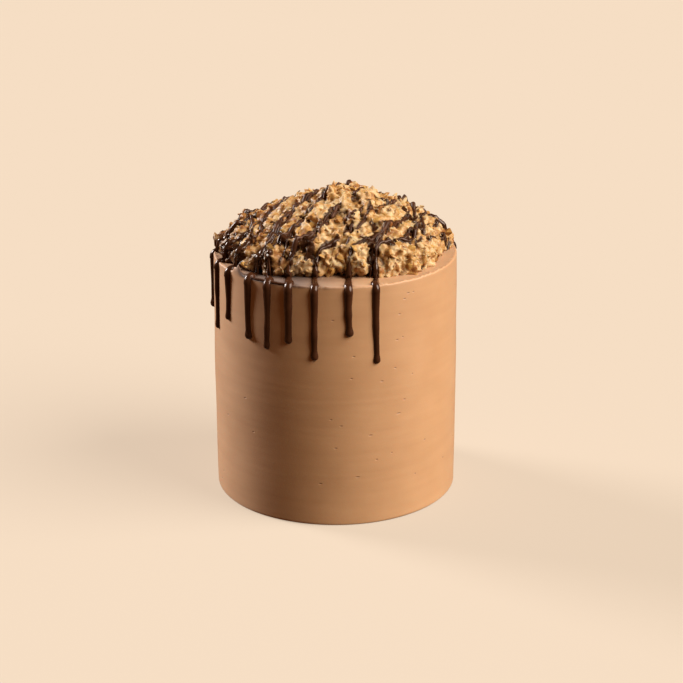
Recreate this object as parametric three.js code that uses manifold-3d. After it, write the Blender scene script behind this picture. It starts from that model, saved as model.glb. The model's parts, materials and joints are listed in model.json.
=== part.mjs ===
// A tall round cake in chocolate buttercream, with a heap of coconut and pecan topping
// on it and dark chocolate run over both in parallel passes that end in drips.
// Millimetres, +Z up, the origin at the middle of the base. The front faces -Y, and an
// azimuth is measured from the front towards +X.
import * as THREE from "three";
import { mergeVertices } from "three/addons/utils/BufferGeometryUtils.js";
import Module from "manifold-3d";

const wasm = await Module();
wasm.setup();

// The buttercream cylinder.
const BASE_DIAMETER = 148;
const RIM_DIAMETER = 146.6;
const WALL_HEIGHT = 148.5;
const WALL_BOW = 0.5;
const BASE_EDGE = 1.2;
const RIM_EDGE = 1.6;
const WALL_SIDES = 48;
const WALL_ROWS = 2;
const RIM_ROWS = 2;

// The heap, which nearly reaches the rim except at the front and a little on the right, where
// its foot stands back. Each inset has its azimuth, its depth and how wide it is to either side.
// The heap rises to a steep shoulder all round, with a cone on top that stands to the right.
const HEAP_REACH = 72.5;
const HEAP_INSETS = [
  { azimuth: -6, depth: 17, width: 40 },
  { azimuth: 72, depth: 5, width: 18 },
];
const SHOULDER_HEIGHT = 21.5;
const SHOULDER_FULLNESS = 0.3;
const CONE_HEIGHT = 20;
const CONE_REACH = 60;
const CONE_MIDDLE = 4.5;
const CORE_INSET = 5.5;
const CORE_SIDES = 20;
const CORE_ROWS = 5;
const NODE_GAP = 0.35;
const HEAP_FOOT = WALL_HEIGHT + NODE_GAP;

// The pieces that show on the heap: clumps of custard, chopped nuts and coconut shreds.
const CLUMP_COUNT = 52;
const CLUMP_SIZE = { least: 11, most: 15 };
const NUT_COUNT = 70;
const NUT_SIZE = { least: 6.5, most: 10.5 };
const NUT_BREADTH = 0.8;
const NUT_DEPTH = 0.65;
const CHUNK_UNEVENNESS = 0.2;
const CLUMP_LIFT = 0.02;
const NUT_LIFT = 0.15;
const SHRED_COUNT = 34;
const SHRED_LENGTH = { least: 8, most: 15 };
const SHRED_WIDTH = 2.6;
const SHRED_THICKNESS = 1.5;
const SHRED_BEND = 0.02;
const SHRED_LIFT = 3;
const SPREAD = 0.45;
const FOOT_SPREAD = 1.12;
const FOOT_LIFT = 3;
const FREE_TILT = Math.PI;
const FLAT_TILT = 0.8;

// The chocolate. Each pass is a line across the cake, set by its distance from the axis,
// with the lengths of the drips that it leaves on the front and on the back wall.
const PASS_DIRECTION = THREE.MathUtils.degToRad(60);
const PASSES = [
  { offset: -62.2, front: 36, back: 32 },
  { offset: -48.5, front: 42, back: 27 },
  { offset: -35, front: 32, back: 13 },
  { offset: -16.9, front: 38.5, back: 22 },
  { offset: -2.7, front: 41.5, back: 24 },
  { offset: 11, front: 36, back: 35 },
  { offset: 26, front: 44.5, back: 20 },
  { offset: 43.2, front: 30.5, back: 24 },
  { offset: 55.1, front: 48, back: 11 },
];
const DRIP_WIDTH = { least: 4.8, most: 5.8 };
const DRIP_THICKNESS_SHARE = 0.85;
const DRIP_START = 5;
const DRIP_NECK = 0.62;
const DRIP_NECK_AT = 0.7;
const DRIP_BULB = 0.8;
const DRIP_SIDES = 6;
const DRIP_ROWS = 5;
const DRIP_END_ROWS = 2;
const STRAND_WIDTH = 3;
const STRAND_LIFT = 0.4;
const STRAND_REACH = 0.95;
const STRAND_SIDES = 4;
const STRAND_STEP = 13;
const STRAND_WANDER = 2;
const STRAND_WANDER_STEP = 14;

const RANDOM_SEED = 41;
const GOLDEN_ANGLE = Math.PI * (3 - Math.sqrt(5));
const WELD = 1e-3;
const UP = new THREE.Vector3(0, 0, 1);

const { clamp, euclideanModulo, lerp, radToDeg, seededRandom, smoothstep } = THREE.MathUtils;
seededRandom(RANDOM_SEED);

const between = ({ least, most }) => lerp(least, most, seededRandom());

// Small tools for solids.

// The geometry with one corner wherever its faces meet.
function withSharedCorners(geometry) {
  geometry.deleteAttribute("normal");
  geometry.deleteAttribute("uv");
  return mergeVertices(geometry, WELD);
}

// A closed solid from a geometry, less the faces that have shrunk to nothing.
function solidFrom(geometry) {
  const shared = withSharedCorners(geometry);
  const corners = shared.index.array;
  const triVerts = [];
  for (let i = 0; i < corners.length; i += 3) {
    const [a, b, c] = corners.slice(i, i + 3);
    if (a !== b && b !== c && c !== a) triVerts.push(a, b, c);
  }
  return new wasm.Manifold(
    new wasm.Mesh({
      numProp: 3,
      vertProperties: shared.attributes.position.array,
      triVerts: new Uint32Array(triVerts),
    }),
  );
}

// Moves every corner of a geometry by a function of its place.
function warp(geometry, move) {
  const places = geometry.attributes.position;
  const point = new THREE.Vector3();
  for (let i = 0; i < places.count; i++) {
    point.fromBufferAttribute(places, i);
    move(point);
    places.setXYZ(i, point.x, point.y, point.z);
  }
  return geometry;
}

// All the solids as one, without sealed hollows and loose scraps.
function fuse(solids) {
  const bodies = wasm.Manifold.union(solids).decompose();
  return bodies.reduce((best, body) => (body.volume() > best.volume() ? body : best));
}

function meshFrom(name, solid, material) {
  const { numProp, vertProperties, triVerts } = solid.getMesh();
  const geometry = new THREE.BufferGeometry();
  const packed = new THREE.InterleavedBuffer(vertProperties, numProp);
  geometry.setAttribute("position", new THREE.InterleavedBufferAttribute(packed, 3, 0));
  geometry.setIndex(new THREE.BufferAttribute(triVerts, 1));
  const flat = geometry.toNonIndexed();
  flat.computeVertexNormals();
  const mesh = new THREE.Mesh(flat, material);
  mesh.name = name;
  return mesh;
}

// The buttercream.

// The wall swells a little between its base and its rim.
function wallRadius(z) {
  const t = z / WALL_HEIGHT;
  return lerp(BASE_DIAMETER, RIM_DIAMETER, t) / 2 + WALL_BOW * Math.sin(Math.PI * t);
}

function buttercream() {
  const profile = [
    new THREE.Vector2(0, 0),
    new THREE.Vector2(wallRadius(0) - BASE_EDGE / 2, 0),
  ];
  for (let row = 0; row <= WALL_ROWS; row++) {
    const z = lerp(BASE_EDGE, WALL_HEIGHT - RIM_EDGE, row / WALL_ROWS);
    profile.push(new THREE.Vector2(wallRadius(z), z));
  }
  for (let row = 1; row <= RIM_ROWS; row++) {
    const turn = (Math.PI / 2) * (row / RIM_ROWS);
    const r = wallRadius(WALL_HEIGHT) - RIM_EDGE * (1 - Math.cos(turn));
    profile.push(new THREE.Vector2(r, WALL_HEIGHT - RIM_EDGE * (1 - Math.sin(turn))));
  }
  profile.push(new THREE.Vector2(0, WALL_HEIGHT));
  return solidFrom(new THREE.LatheGeometry(profile, WALL_SIDES).rotateX(Math.PI / 2));
}

// The heap.

// How far the heap reaches from the axis at an azimuth.
function heapReach(azimuth) {
  return HEAP_INSETS.reduce((reach, inset) => {
    const turn = euclideanModulo(radToDeg(azimuth) - inset.azimuth + 180, 360) - 180;
    return reach - inset.depth * Math.exp(-((turn / inset.width) ** 2));
  }, HEAP_REACH);
}

const azimuthOf = (x, y) => Math.atan2(x, -y);

// The height over a place of a dome, which is the heap's outline or lies inside it.
function domeHeight(x, y, inset) {
  const r = Math.hypot(x, y);
  const share = Math.min(1, r / (heapReach(azimuthOf(x, y)) - inset));
  const shoulder = (SHOULDER_HEIGHT - inset) * (1 - share * share) ** SHOULDER_FULLNESS;
  const away = Math.hypot(x - CONE_MIDDLE, y);
  return shoulder + CONE_HEIGHT * Math.max(0, 1 - away / CONE_REACH);
}

function heapCore() {
  const profile = [new THREE.Vector2(0, 0)];
  for (let row = 0; row <= CORE_ROWS; row++) {
    const share = Math.cos((Math.PI / 2) * (row / CORE_ROWS));
    profile.push(new THREE.Vector2(share, row / CORE_ROWS));
  }
  const dome = new THREE.LatheGeometry(profile, CORE_SIDES).rotateX(Math.PI / 2);
  warp(dome, (point) => {
    const reach = heapReach(azimuthOf(point.x, point.y)) - CORE_INSET;
    point.x *= reach;
    point.y *= reach;
    if (point.z > 0) point.z = domeHeight(point.x, point.y, CORE_INSET);
  });
  return solidFrom(dome.translate(0, 0, HEAP_FOOT));
}

// The nth of many places spread evenly over the heap's core and then round its foot, and
// the way up from it.
function placeOnCore(n, count) {
  const azimuth = n * GOLDEN_ANGLE;
  const share = FOOT_SPREAD * ((n + seededRandom()) / count) ** SPREAD;
  const r = (heapReach(azimuth) - CORE_INSET) * Math.min(1, share);
  const x = r * Math.sin(azimuth);
  const y = -r * Math.cos(azimuth);
  const height = (u, v) => Math.max(FOOT_LIFT, domeHeight(u, v, CORE_INSET));
  const slopeX = (height(x + 1, y) - height(x - 1, y)) / 2;
  const slopeY = (height(x, y + 1) - height(x, y - 1)) / 2;
  return {
    point: new THREE.Vector3(x, y, HEAP_FOOT + height(x, y)),
    up: new THREE.Vector3(-slopeX, -slopeY, 1).normalize(),
  };
}

// Lays a piece on the heap at a place, turned at random and tilted up to a limit.
function lay(geometry, { point, up }, tilt, lift) {
  const own = new THREE.Euler(
    tilt * (seededRandom() - 0.5),
    tilt * (seededRandom() - 0.5),
    2 * Math.PI * seededRandom(),
  );
  const slope = new THREE.Quaternion().setFromUnitVectors(UP, up);
  geometry.applyQuaternion(slope.multiply(new THREE.Quaternion().setFromEuler(own)));
  const { x, y, z } = point.clone().addScaledVector(up, lift);
  return solidFrom(geometry.translate(x, y, z));
}

// Makes a regular shape uneven, each of its corners by its own draw.
function roughen(geometry) {
  const chunk = withSharedCorners(geometry);
  return warp(chunk, (point) => {
    point.multiplyScalar(1 + CHUNK_UNEVENNESS * (2 * seededRandom() - 1));
  });
}

function clump(n) {
  const radius = between(CLUMP_SIZE) / 2;
  const lump = roughen(new THREE.IcosahedronGeometry(radius));
  return lay(lump, placeOnCore(n, CLUMP_COUNT), FREE_TILT, 2 * radius * CLUMP_LIFT);
}

function nut(n) {
  const size = between(NUT_SIZE);
  const chunk = roughen(new THREE.BoxGeometry(size, size * NUT_BREADTH, size * NUT_DEPTH));
  return lay(chunk, placeOnCore(n, NUT_COUNT), FREE_TILT, size * NUT_LIFT);
}

// A shred of coconut: a strip with a bend in it.
function shred(n) {
  const length = between(SHRED_LENGTH);
  const strip = new THREE.BoxGeometry(length, SHRED_WIDTH, SHRED_THICKNESS, 2, 1, 1);
  warp(strip, (point) => {
    point.z -= SHRED_BEND * point.x * point.x;
  });
  return lay(strip, placeOnCore(n, SHRED_COUNT), FLAT_TILT, SHRED_LIFT);
}

// The chocolate.

// A place on the line of a pass, so far along it from where it comes nearest the axis.
function passPoint(offset, along) {
  return new THREE.Vector2(
    offset * Math.sin(PASS_DIRECTION) + along * Math.cos(PASS_DIRECTION),
    -offset * Math.cos(PASS_DIRECTION) + along * Math.sin(PASS_DIRECTION),
  );
}

// A drip: a capsule that lies on the top from the heap's edge to the rim, bends over it
// and hangs down the wall, with a neck and a round end. grow fattens it on every side.
function drip({ azimuth, length, width }, grow = 0) {
  const rim = wallRadius(WALL_HEIGHT);
  const run = rim - heapReach(azimuth) + DRIP_START;
  const whole = run + length + 2 * grow;
  const radius = width / 2 + grow;
  const straight = whole - 2 * radius;
  const capsule = new THREE.CapsuleGeometry(radius, straight, DRIP_END_ROWS, DRIP_SIDES, DRIP_ROWS);
  warp(capsule, (point) => {
    const along = whole / 2 - point.y - grow;
    const fallen = along - run;
    const neck = lerp(1, DRIP_NECK, smoothstep(fallen, 0, DRIP_NECK_AT * length));
    const bulb = smoothstep(fallen, length - 2 * width, length - width / 2);
    const girth = lerp(neck, DRIP_BULB, bulb);
    const sideways = point.x * girth;
    const outwards = point.z * girth * DRIP_THICKNESS_SHARE;
    const bend = smoothstep(fallen, -RIM_EDGE, RIM_EDGE) * (Math.PI / 2);
    const r = rim + Math.min(0, fallen) + outwards * Math.sin(bend);
    const z = WALL_HEIGHT - Math.max(0, fallen) + outwards * Math.cos(bend);
    const swell = wallRadius(WALL_HEIGHT - Math.max(0, fallen)) - rim;
    point.set(sideways, -(r + swell), z);
  });
  return solidFrom(capsule.rotateZ(azimuth));
}

// The two drips of each pass, in front and behind.
function passDrips() {
  return PASSES.flatMap(({ offset, front, back }) =>
    [-1, 1].map((side) => {
      const rim = wallRadius(WALL_HEIGHT);
      const end = passPoint(offset, side * Math.sqrt(rim * rim - offset * offset));
      return {
        azimuth: azimuthOf(end.x, end.y),
        length: side < 0 ? front : back,
        width: between(DRIP_WIDTH),
      };
    }),
  );
}

// A strand of chocolate over the heap, along one pass or just inside the heap's edge.
function strand(pass) {
  const widest = STRAND_REACH * HEAP_REACH - 2 * STRAND_WIDTH;
  const offset = clamp(pass.offset, -widest, widest);
  const half = Math.sqrt(HEAP_REACH * HEAP_REACH - offset * offset);
  const wander = 2 * Math.PI * seededRandom();
  const points = [];
  for (let along = -half; along <= half; along += STRAND_WIDTH) {
    const aside = offset + STRAND_WANDER * Math.sin(wander + along / STRAND_WANDER_STEP);
    const { x, y } = passPoint(aside, along);
    if (Math.hypot(x, y) > STRAND_REACH * heapReach(azimuthOf(x, y))) continue;
    points.push(new THREE.Vector3(x, y, HEAP_FOOT + domeHeight(x, y, 0) + STRAND_LIFT));
  }
  const path = new THREE.CatmullRomCurve3(points);
  const round = new THREE.EllipseCurve(0, 0, STRAND_WIDTH / 2, STRAND_WIDTH / 2);
  const section = new THREE.Shape(round.getPoints(STRAND_SIDES).slice(0, -1));
  const steps = Math.max(2, Math.round(path.getLength() / STRAND_STEP));
  return solidFrom(new THREE.ExtrudeGeometry(section, { steps, extrudePath: path }));
}

// The two nodes.

function frostedCake(drips) {
  return fuse([buttercream(), ...drips.map((one) => drip(one))]);
}

function topping(drips) {
  const clumps = Array.from({ length: CLUMP_COUNT }, (_, n) => clump(n));
  const nuts = Array.from({ length: NUT_COUNT }, (_, n) => nut(n));
  const shreds = Array.from({ length: SHRED_COUNT }, (_, n) => shred(n));
  const strands = PASSES.map(strand);
  const heap = fuse([heapCore(), ...clumps, ...nuts, ...shreds, ...strands]);
  const below = new THREE.BoxGeometry(2 * BASE_DIAMETER, 2 * BASE_DIAMETER, WALL_HEIGHT);
  const floor = solidFrom(below.translate(0, 0, HEAP_FOOT - WALL_HEIGHT / 2));
  const room = drips.map((one) => drip(one, NODE_GAP));
  return fuse([wasm.Manifold.difference([heap, floor, ...room])]);
}

const drips = passDrips();
const cake = new THREE.Group();
cake.name = "german_chocolate_cake";
cake.add(
  meshFrom(
    "frosted_cake",
    frostedCake(drips),
    new THREE.MeshStandardMaterial({ color: 0xb9855c, roughness: 0.6, metalness: 0 }),
  ),
  meshFrom(
    "coconut_pecan_topping",
    topping(drips),
    new THREE.MeshStandardMaterial({ color: 0xc79a5e, roughness: 0.5, metalness: 0 }),
  ),
);

export default cake;
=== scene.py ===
"""Looks for a tall german chocolate cake: smooth buttercream, a heap of coconut and pecan
custard on top, and dark chocolate run over both. Metres, +Z up, the front faces -Y, and an
azimuth is measured from the front towards +X."""

import json
import math
import random
from contextlib import contextmanager

import bmesh
import bpy
import numpy as np
from bpy.props import FloatProperty, FloatVectorProperty, IntProperty, PointerProperty
from mathutils import Euler, Matrix, Vector, noise
from mathutils.bvhtree import BVHTree

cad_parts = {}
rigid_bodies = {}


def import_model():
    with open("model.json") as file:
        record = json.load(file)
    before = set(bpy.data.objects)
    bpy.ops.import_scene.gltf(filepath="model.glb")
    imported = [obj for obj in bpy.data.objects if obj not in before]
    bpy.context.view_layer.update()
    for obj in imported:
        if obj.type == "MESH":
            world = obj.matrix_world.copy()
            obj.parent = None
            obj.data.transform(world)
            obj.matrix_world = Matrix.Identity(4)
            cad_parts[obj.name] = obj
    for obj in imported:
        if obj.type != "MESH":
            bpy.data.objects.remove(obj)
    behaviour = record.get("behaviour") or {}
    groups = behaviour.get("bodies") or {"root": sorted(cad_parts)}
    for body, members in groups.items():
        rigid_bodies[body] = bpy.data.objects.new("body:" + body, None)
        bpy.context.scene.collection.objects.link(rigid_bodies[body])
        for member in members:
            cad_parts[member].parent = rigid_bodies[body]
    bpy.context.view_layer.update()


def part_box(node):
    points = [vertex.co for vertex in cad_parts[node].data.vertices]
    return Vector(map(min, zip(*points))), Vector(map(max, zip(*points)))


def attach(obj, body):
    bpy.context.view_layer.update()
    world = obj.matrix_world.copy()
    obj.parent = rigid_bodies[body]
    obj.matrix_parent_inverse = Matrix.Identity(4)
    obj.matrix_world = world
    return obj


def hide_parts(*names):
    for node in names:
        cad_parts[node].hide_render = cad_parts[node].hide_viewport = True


bl_info = {
    "name": "German chocolate cake",
    "version": (1, 0, 0),
    "blender": (4, 5, 0),
    "location": "View3D > Sidebar > Cake",
    "description": "Builds a frosted cake with a nut topping and chocolate drips",
    "category": "Object",
}

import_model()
HEAP_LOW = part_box("coconut_pecan_topping")[0]

MM = 0.001
SOLID_GAP = 0.35 * MM
WALL_TOP = HEAP_LOW.z - SOLID_GAP
DOWN = Vector((0, 0, -1))
TURN = 2 * math.pi


# Settings


def a_length(name, description, default):
    return FloatProperty(name=name, description=description, default=default, unit="LENGTH")


def a_number(name, description, default):
    return FloatProperty(name=name, description=description, default=default)


def a_count(name, description, default):
    return IntProperty(name=name, description=description, default=default)


def a_colour(name, description, default):
    return FloatVectorProperty(
        name=name, description=description, default=default, subtype="COLOR"
    )


class ButtercreamSettings(bpy.types.PropertyGroup):
    """Sizes and colours of the buttercream."""

    base_radius: a_length("Base radius", "From the axis to the wall at the base", 74 * MM)
    rim_radius: a_length("Rim radius", "From the axis to the wall at the rim", 73.3 * MM)
    bow: a_length("Bow", "How far the wall swells between base and rim", 0.5 * MM)
    height: a_length("Height", "From the base to the flat top", WALL_TOP)
    rim_edge: a_length("Rim edge", "Radius of the rounded edge at the rim", 0.9 * MM)
    base_edge: a_length("Base edge", "Radius of the rounded edge at the base", 1.0 * MM)
    waviness: a_length("Waviness", "Height of the long waves that the scraper leaves", 0.3 * MM)
    smear: a_length("Smear", "Height of the scraper's fine level ridges", 0.04 * MM)
    crest: a_length("Crest", "Height of the ragged crest pushed up at the rim", 0.9 * MM)
    pit_count: a_count("Air pockets", "How many small burst air pockets dot the wall", 36)
    light_colour: a_colour("Light colour", "Colour of the paler streaks", (0.58, 0.297, 0.131))
    dark_colour: a_colour("Dark colour", "Colour of the darker streaks", (0.515, 0.253, 0.107))
    # Painted shade: the darker colour inside the air pockets stands for the shade that falls in
    # them.
    pit_shade_colour: a_colour("Pit colour", "Colour inside the air pockets", (0.30, 0.14, 0.065))
    # Painted shade: this dark brown on the front-left of the top stands for shade, not for
    # chocolate.
    ring_shade_colour: a_colour("Film colour", "Film of chocolate on the top", (0.085, 0.03, 0.0105))


class ToppingSettings(bpy.types.PropertyGroup):
    """Sizes and colours of the heap."""

    shoulder_height: a_length("Shoulder height", "Height of the steep shoulder", 21.5 * MM)
    shoulder_fullness: a_number("Shoulder fullness", "Its power: lower is steeper at the foot", 0.3)
    cone_height: a_length("Cone height", "Rise of the middle over the shoulder", 20 * MM)
    cone_reach: a_length("Cone reach", "How far the rise in the middle reaches", 60 * MM)
    cone_middle: a_length("Cone middle", "How far right of the axis the peak is", 4.5 * MM)
    reach: a_length("Reach", "From the axis to the foot where it doesn't stand back", 72.5 * MM)
    clump_count: a_count("Clumps", "How many clumps of custard make up the surface", 84)
    clump_least: a_length("Smallest clump", "Radius of the smallest clump", 5.5 * MM)
    clump_most: a_length("Largest clump", "Radius of the largest clump", 10.0 * MM)
    crumb_count: a_count("Crumbs", "How many crumbs of custard stick to the clumps", 560)
    crumb_least: a_length("Smallest crumb", "Radius of the smallest crumb", 1.4 * MM)
    crumb_most: a_length("Largest crumb", "Radius of the largest crumb", 3.8 * MM)
    flake_count: a_count("Flakes", "How many flakes are pressed into the clumps", 2200)
    voxel: a_length("Voxel", "Cell size at which clumps and flakes are joined", 0.8 * MM)
    shred_spacing: a_length("Shred spacing", "Least distance between shreds", 4.8 * MM)
    nut_spacing: a_length("Nut spacing", "Least distance between pecan pieces", 9.5 * MM)
    seed: a_count("Seed", "Seed of every random draw in the heap", 11)
    # Painted shade: this dark custard colour is laid in the hollows and on the low left of the
    # heap, where shade falls.
    custard_shade_colour: a_colour("Custard, deep", "Custard in the hollows", (0.085, 0.029, 0.009))
    custard_brown: a_colour("Custard, brown", "Flakes of nut in the custard", (0.27, 0.10, 0.025))
    custard_gold: a_colour("Custard, golden", "Custard on the clumps", (0.47, 0.235, 0.071))
    custard_cream: a_colour("Custard, cream", "Flakes of coconut in it", (0.615, 0.42, 0.22))
    coconut_dark: a_colour("Coconut, darkest", "Shreds soaked the most", (0.44, 0.225, 0.073))
    coconut_light: a_colour("Coconut, palest", "Shreds soaked the least", (0.64, 0.452, 0.25))
    nut_dark: a_colour("Pecan, skin", "Skin of the pecans", (0.33, 0.135, 0.033))
    nut_light: a_colour("Pecan, inside", "Broken inside of the pecans", (0.58, 0.315, 0.085))


class ChocolateSettings(bpy.types.PropertyGroup):
    """Sizes and colours of the chocolate."""

    direction: FloatProperty(
        name="Direction",
        description="Plan angle of the passes from +X towards +Y",
        default=math.radians(60),
        subtype="ANGLE",
    )
    drip_width: a_length("Drip width", "Width of a drip as it comes over the rim", 5.0 * MM)
    thread_width: a_length("Thread width", "Width of the thin threads", 1.15 * MM)
    thread_count: a_count("Threads", "How many thin threads go with each main strand", 3)
    seed: a_count("Seed", "Seed of every random draw in the chocolate", 5)
    colour: a_colour("Chocolate", "Colour of the chocolate", (0.038, 0.0121, 0.0047))
    # Partly painted sheen: this lighter brown stands both for chocolate that set thin and for the
    # sky's reflection on top.
    thin_and_sheen_colour: a_colour("Thin chocolate", "Where it has set thin", (0.094, 0.031, 0.0115))


class StudioSettings(bpy.types.PropertyGroup):
    """The floor and the lights."""

    floor_colour: a_colour("Floor", "Colour of the pale floor", (0.177, 0.147, 0.118))
    floor_glow: a_colour("Floor glow", "Keeps the floor's shadows pale", (0.60, 0.475, 0.359))
    key_strength: a_number("Key light", "Strength of the soft light on the right", 5.9)
    edge_strength: a_number("Edge light", "Strength of the low light behind on the left", 4.8)
    fill_strength: a_number("Fill light", "Strength of the even light from all round", 0.11)
    fill_colour: a_colour("Fill colour", "Colour of the even light", (1.0, 0.46, 0.19))


# Each pass of chocolate is a line across the cake: its distance from the axis, the lengths
# of the drips that it leaves on the front and on the back wall, and the width of its strand
# over the heap, in millimetres.
PASSES = (
    (-62.2, 36, 32, 2.3),
    (-48.5, 42, 27, 2.2),
    (-35.0, 32, 13, 2.2),
    (-16.9, 38.5, 22, 2.2),
    (-2.7, 41.5, 24, 2.0),
    (11.0, 36, 35, 2.1),
    (26.0, 44.5, 20, 1.9),
    (43.2, 30.5, 24, 1.9),
    (55.1, 48, 11, 1.8),
)

# Where chocolate has pooled on the heap: the pool's place in plan and its radius, in mm.
POOLS = (
    (-16, -46, 4.0), (-15, -50, 3.0), (23, -46, 3.4), (24, -40, 2.6), (32, -43, 3.0),
    (66, -2, 2.6), (-34, -31, 4.2), (-35, -22, 3.6), (-66, -14, 4.0), (-63, -27, 4.2),
    (-57, -37, 3.0), (-49, -29, 2.2), (-44, -7, 3.6), (-54, -4, 3.4), (-50, -20, 3.2),
    (-28, -38, 3.0), (-30, -8, 2.6), (-58, 12, 2.6), (-25, -49, 2.2), (-10, -33, 2.2),
    (-20, -21, 2.2), (9, -28, 2.0), (23, -32, 2.4), (43, -2, 2.4), (48, -15, 2.4),
    (-42, -44, 2.2), (40, 44, 3.4), (-20, 58, 3.6), (8, 62, 3.6), (-50, 40, 3.4),
)

# The plainest air pockets on the front: azimuth in degrees, then height and length in mm.
PLAIN_PITS = (
    (35, 141, 2.4), (38, 141, 1.4), (33, 138, 2.0), (32, 115, 1.4), (29, 114, 2.0),
    (28, 97, 1.6), (33, 76, 1.6), (30, 68, 3.0), (16, 57, 2.6), (19, 41, 1.6),
    (10, 31, 3.0), (0, 50, 2.0), (-2, 68, 1.4), (-46, 73, 2.2), (-61, 56, 1.8),
    (-7, 27, 2.2), (-1, 129, 2.0),
)


# Small tools


def lerp(a, b, t):
    return a + (b - a) * t


def smoothstep(low, high, x):
    t = np.clip((x - low) / (high - low), 0.0, 1.0)
    return t * t * (3 - 2 * t)


def bell(x, width):
    """A bump of height 1 round zero."""
    return np.exp(-((x / width) ** 2))


def mixed(a, b, share):
    """A colour between two others."""
    return tuple(lerp(x, y, share) for x, y in zip(a, b))


def azimuth_of(x, y):
    return math.atan2(x, -y)


def on_circle(radius, azimuth):
    """Plan place at a distance from the axis and an azimuth."""
    return radius * np.sin(azimuth), -radius * np.cos(azimuth)


def half_turn(angle, whole=TURN):
    """The same angle within half a turn of zero."""
    return (angle + whole / 2) % whole - whole / 2


def path_lengths(points):
    """How far along a path each of its points lies."""
    steps = [math.dist(a, b) for a, b in zip(points, points[1:])]
    return np.concatenate(((0.0,), np.cumsum(steps)))


def ring_faces(rows, columns):
    """Faces between closed rows of points."""
    faces = []
    for row in range(rows - 1):
        for i in range(columns):
            a = row * columns + i
            b = row * columns + (i + 1) % columns
            faces.append((a, b, b + columns, a + columns))
    return faces


@contextmanager
def shape_of(mesh):
    """A mesh opened for changes, which are written back to it."""
    shape = bmesh.new()
    shape.from_mesh(mesh)
    yield shape
    shape.to_mesh(mesh)
    shape.free()


def once(items):
    """Each item once and in order: a set's order would differ from run to run."""
    return list(dict.fromkeys(items))


def put_in_scene(name, data):
    thing = bpy.data.objects.new(name, data)
    bpy.context.scene.collection.objects.link(thing)
    return thing


def add_piece(name, mesh, material, node):
    """Puts a finished mesh in the scene as a piece that stands for a solid."""
    mesh.materials.clear()
    mesh.materials.append(material)
    mesh.name = name
    piece = put_in_scene(name, mesh)
    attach(piece, "root")
    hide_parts(node)


def add_cake_piece(name, mesh, material):
    add_piece(name, mesh, material, "frosted_cake")


def add_topping_piece(name, mesh, material):
    add_piece(name, mesh, material, "coconut_pecan_topping")


def mesh_from_arrays(name, points, faces, smooth=True):
    mesh = bpy.data.meshes.new(name)
    mesh.from_pydata([tuple(p) for p in points], [], faces)
    mesh.polygons.foreach_set("use_smooth", [smooth] * len(mesh.polygons))
    mesh.update()
    return mesh


def store_values(mesh, name, values):
    """Keeps one number for each vertex, for a material or a node tree to read."""
    layer = mesh.attributes.new(name, "FLOAT", "POINT")
    layer.data.foreach_set("value", np.asarray(values, np.float32))


def read_vectors(mesh, kind="co"):
    """The points of a mesh, or their normals."""
    values = np.zeros(len(mesh.vertices) * 3)
    mesh.vertices.foreach_get(kind, values)
    return values.reshape(-1, 3)


def write_points(mesh, points):
    mesh.vertices.foreach_set("co", points.ravel())
    mesh.update()


def bake_modifiers(host):
    """Turns an object and its modifiers into a plain mesh, and removes the object."""
    graph = bpy.context.evaluated_depsgraph_get()
    mesh = bpy.data.meshes.new_from_object(
        host.evaluated_get(graph), preserve_all_data_layers=True, depsgraph=graph
    )
    bpy.data.objects.remove(host)
    return mesh


# Node trees


def feed(tree, node, inputs):
    """Gives a node's inputs their numbers, or links them to other sockets."""
    sockets = {socket.name: socket for socket in node.inputs if socket.enabled}
    for name, value in inputs.items():
        if isinstance(value, bpy.types.NodeSocket):
            tree.links.new(value, sockets[name])
        else:
            sockets[name].default_value = value


def add_node(tree, kind, inputs=None, **settings):
    node = tree.nodes.new(kind)
    for name, value in settings.items():
        setattr(node, name, value)
    feed(tree, node, inputs or {})
    return node


def result(tree, kind, inputs=None, **settings):
    """Adds a node and returns its first output."""
    node = add_node(tree, kind, inputs, **settings)
    return next(socket for socket in node.outputs if socket.enabled)


def math_node(tree, operation, a, b):
    node = add_node(tree, "ShaderNodeMath", operation=operation)
    for socket, value in zip(node.inputs, (a, b)):
        if isinstance(value, bpy.types.NodeSocket):
            tree.links.new(value, socket)
        else:
            socket.default_value = value
    return node.outputs[0]


def new_tree(name, inputs):
    """A geometry tree with named inputs and one mesh as its output."""
    tree = bpy.data.node_groups.new(name, "GeometryNodeTree")
    for label, kind in inputs.items():
        tree.interface.new_socket(label, in_out="INPUT", socket_type="NodeSocket" + kind)
    tree.interface.new_socket("Mesh", in_out="OUTPUT", socket_type="NodeSocketGeometry")
    return tree, tree.nodes.new("NodeGroupInput").outputs


def end_tree(tree, given, geometry, smooth):
    """Ends a tree: real geometry, its shading and the material that it was given."""
    real = result(tree, "GeometryNodeRealizeInstances", {"Geometry": geometry})
    shading = {"Geometry": real, "Shade Smooth": smooth}
    shaded = result(tree, "GeometryNodeSetShadeSmooth", shading)
    paint = {"Geometry": shaded, "Material": given["Material"]}
    painted = result(tree, "GeometryNodeSetMaterial", paint)
    add_node(tree, "NodeGroupOutput", {"Mesh": painted})


def nodes_modifier(host, tree, values):
    """Gives an object a tree, and sets its inputs through their sockets' identifiers."""
    modifier = host.modifiers.new(tree.name, "NODES")
    modifier.node_group = tree
    for item in tree.interface.items_tree:
        if item.in_out == "INPUT" and item.name in values:
            modifier[item.identifier] = values[item.name]


def sweep_tree():
    """Sweeps a round section along paths, as thick at each point as its radius."""
    inputs = {"Paths": "Geometry", "Sides": "Int", "Material": "Material"}
    tree, given = new_tree("Chocolate sweep", inputs)
    circle = {"Resolution": given["Sides"], "Radius": 1.0}
    sweep = {
        "Curve": given["Paths"],
        "Profile Curve": result(tree, "GeometryNodeCurvePrimitiveCircle", circle),
        "Scale": result(tree, "GeometryNodeInputRadius"),
        "Fill Caps": True,
    }
    end_tree(tree, given, result(tree, "GeometryNodeCurveToMesh", sweep), True)
    return tree


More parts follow.
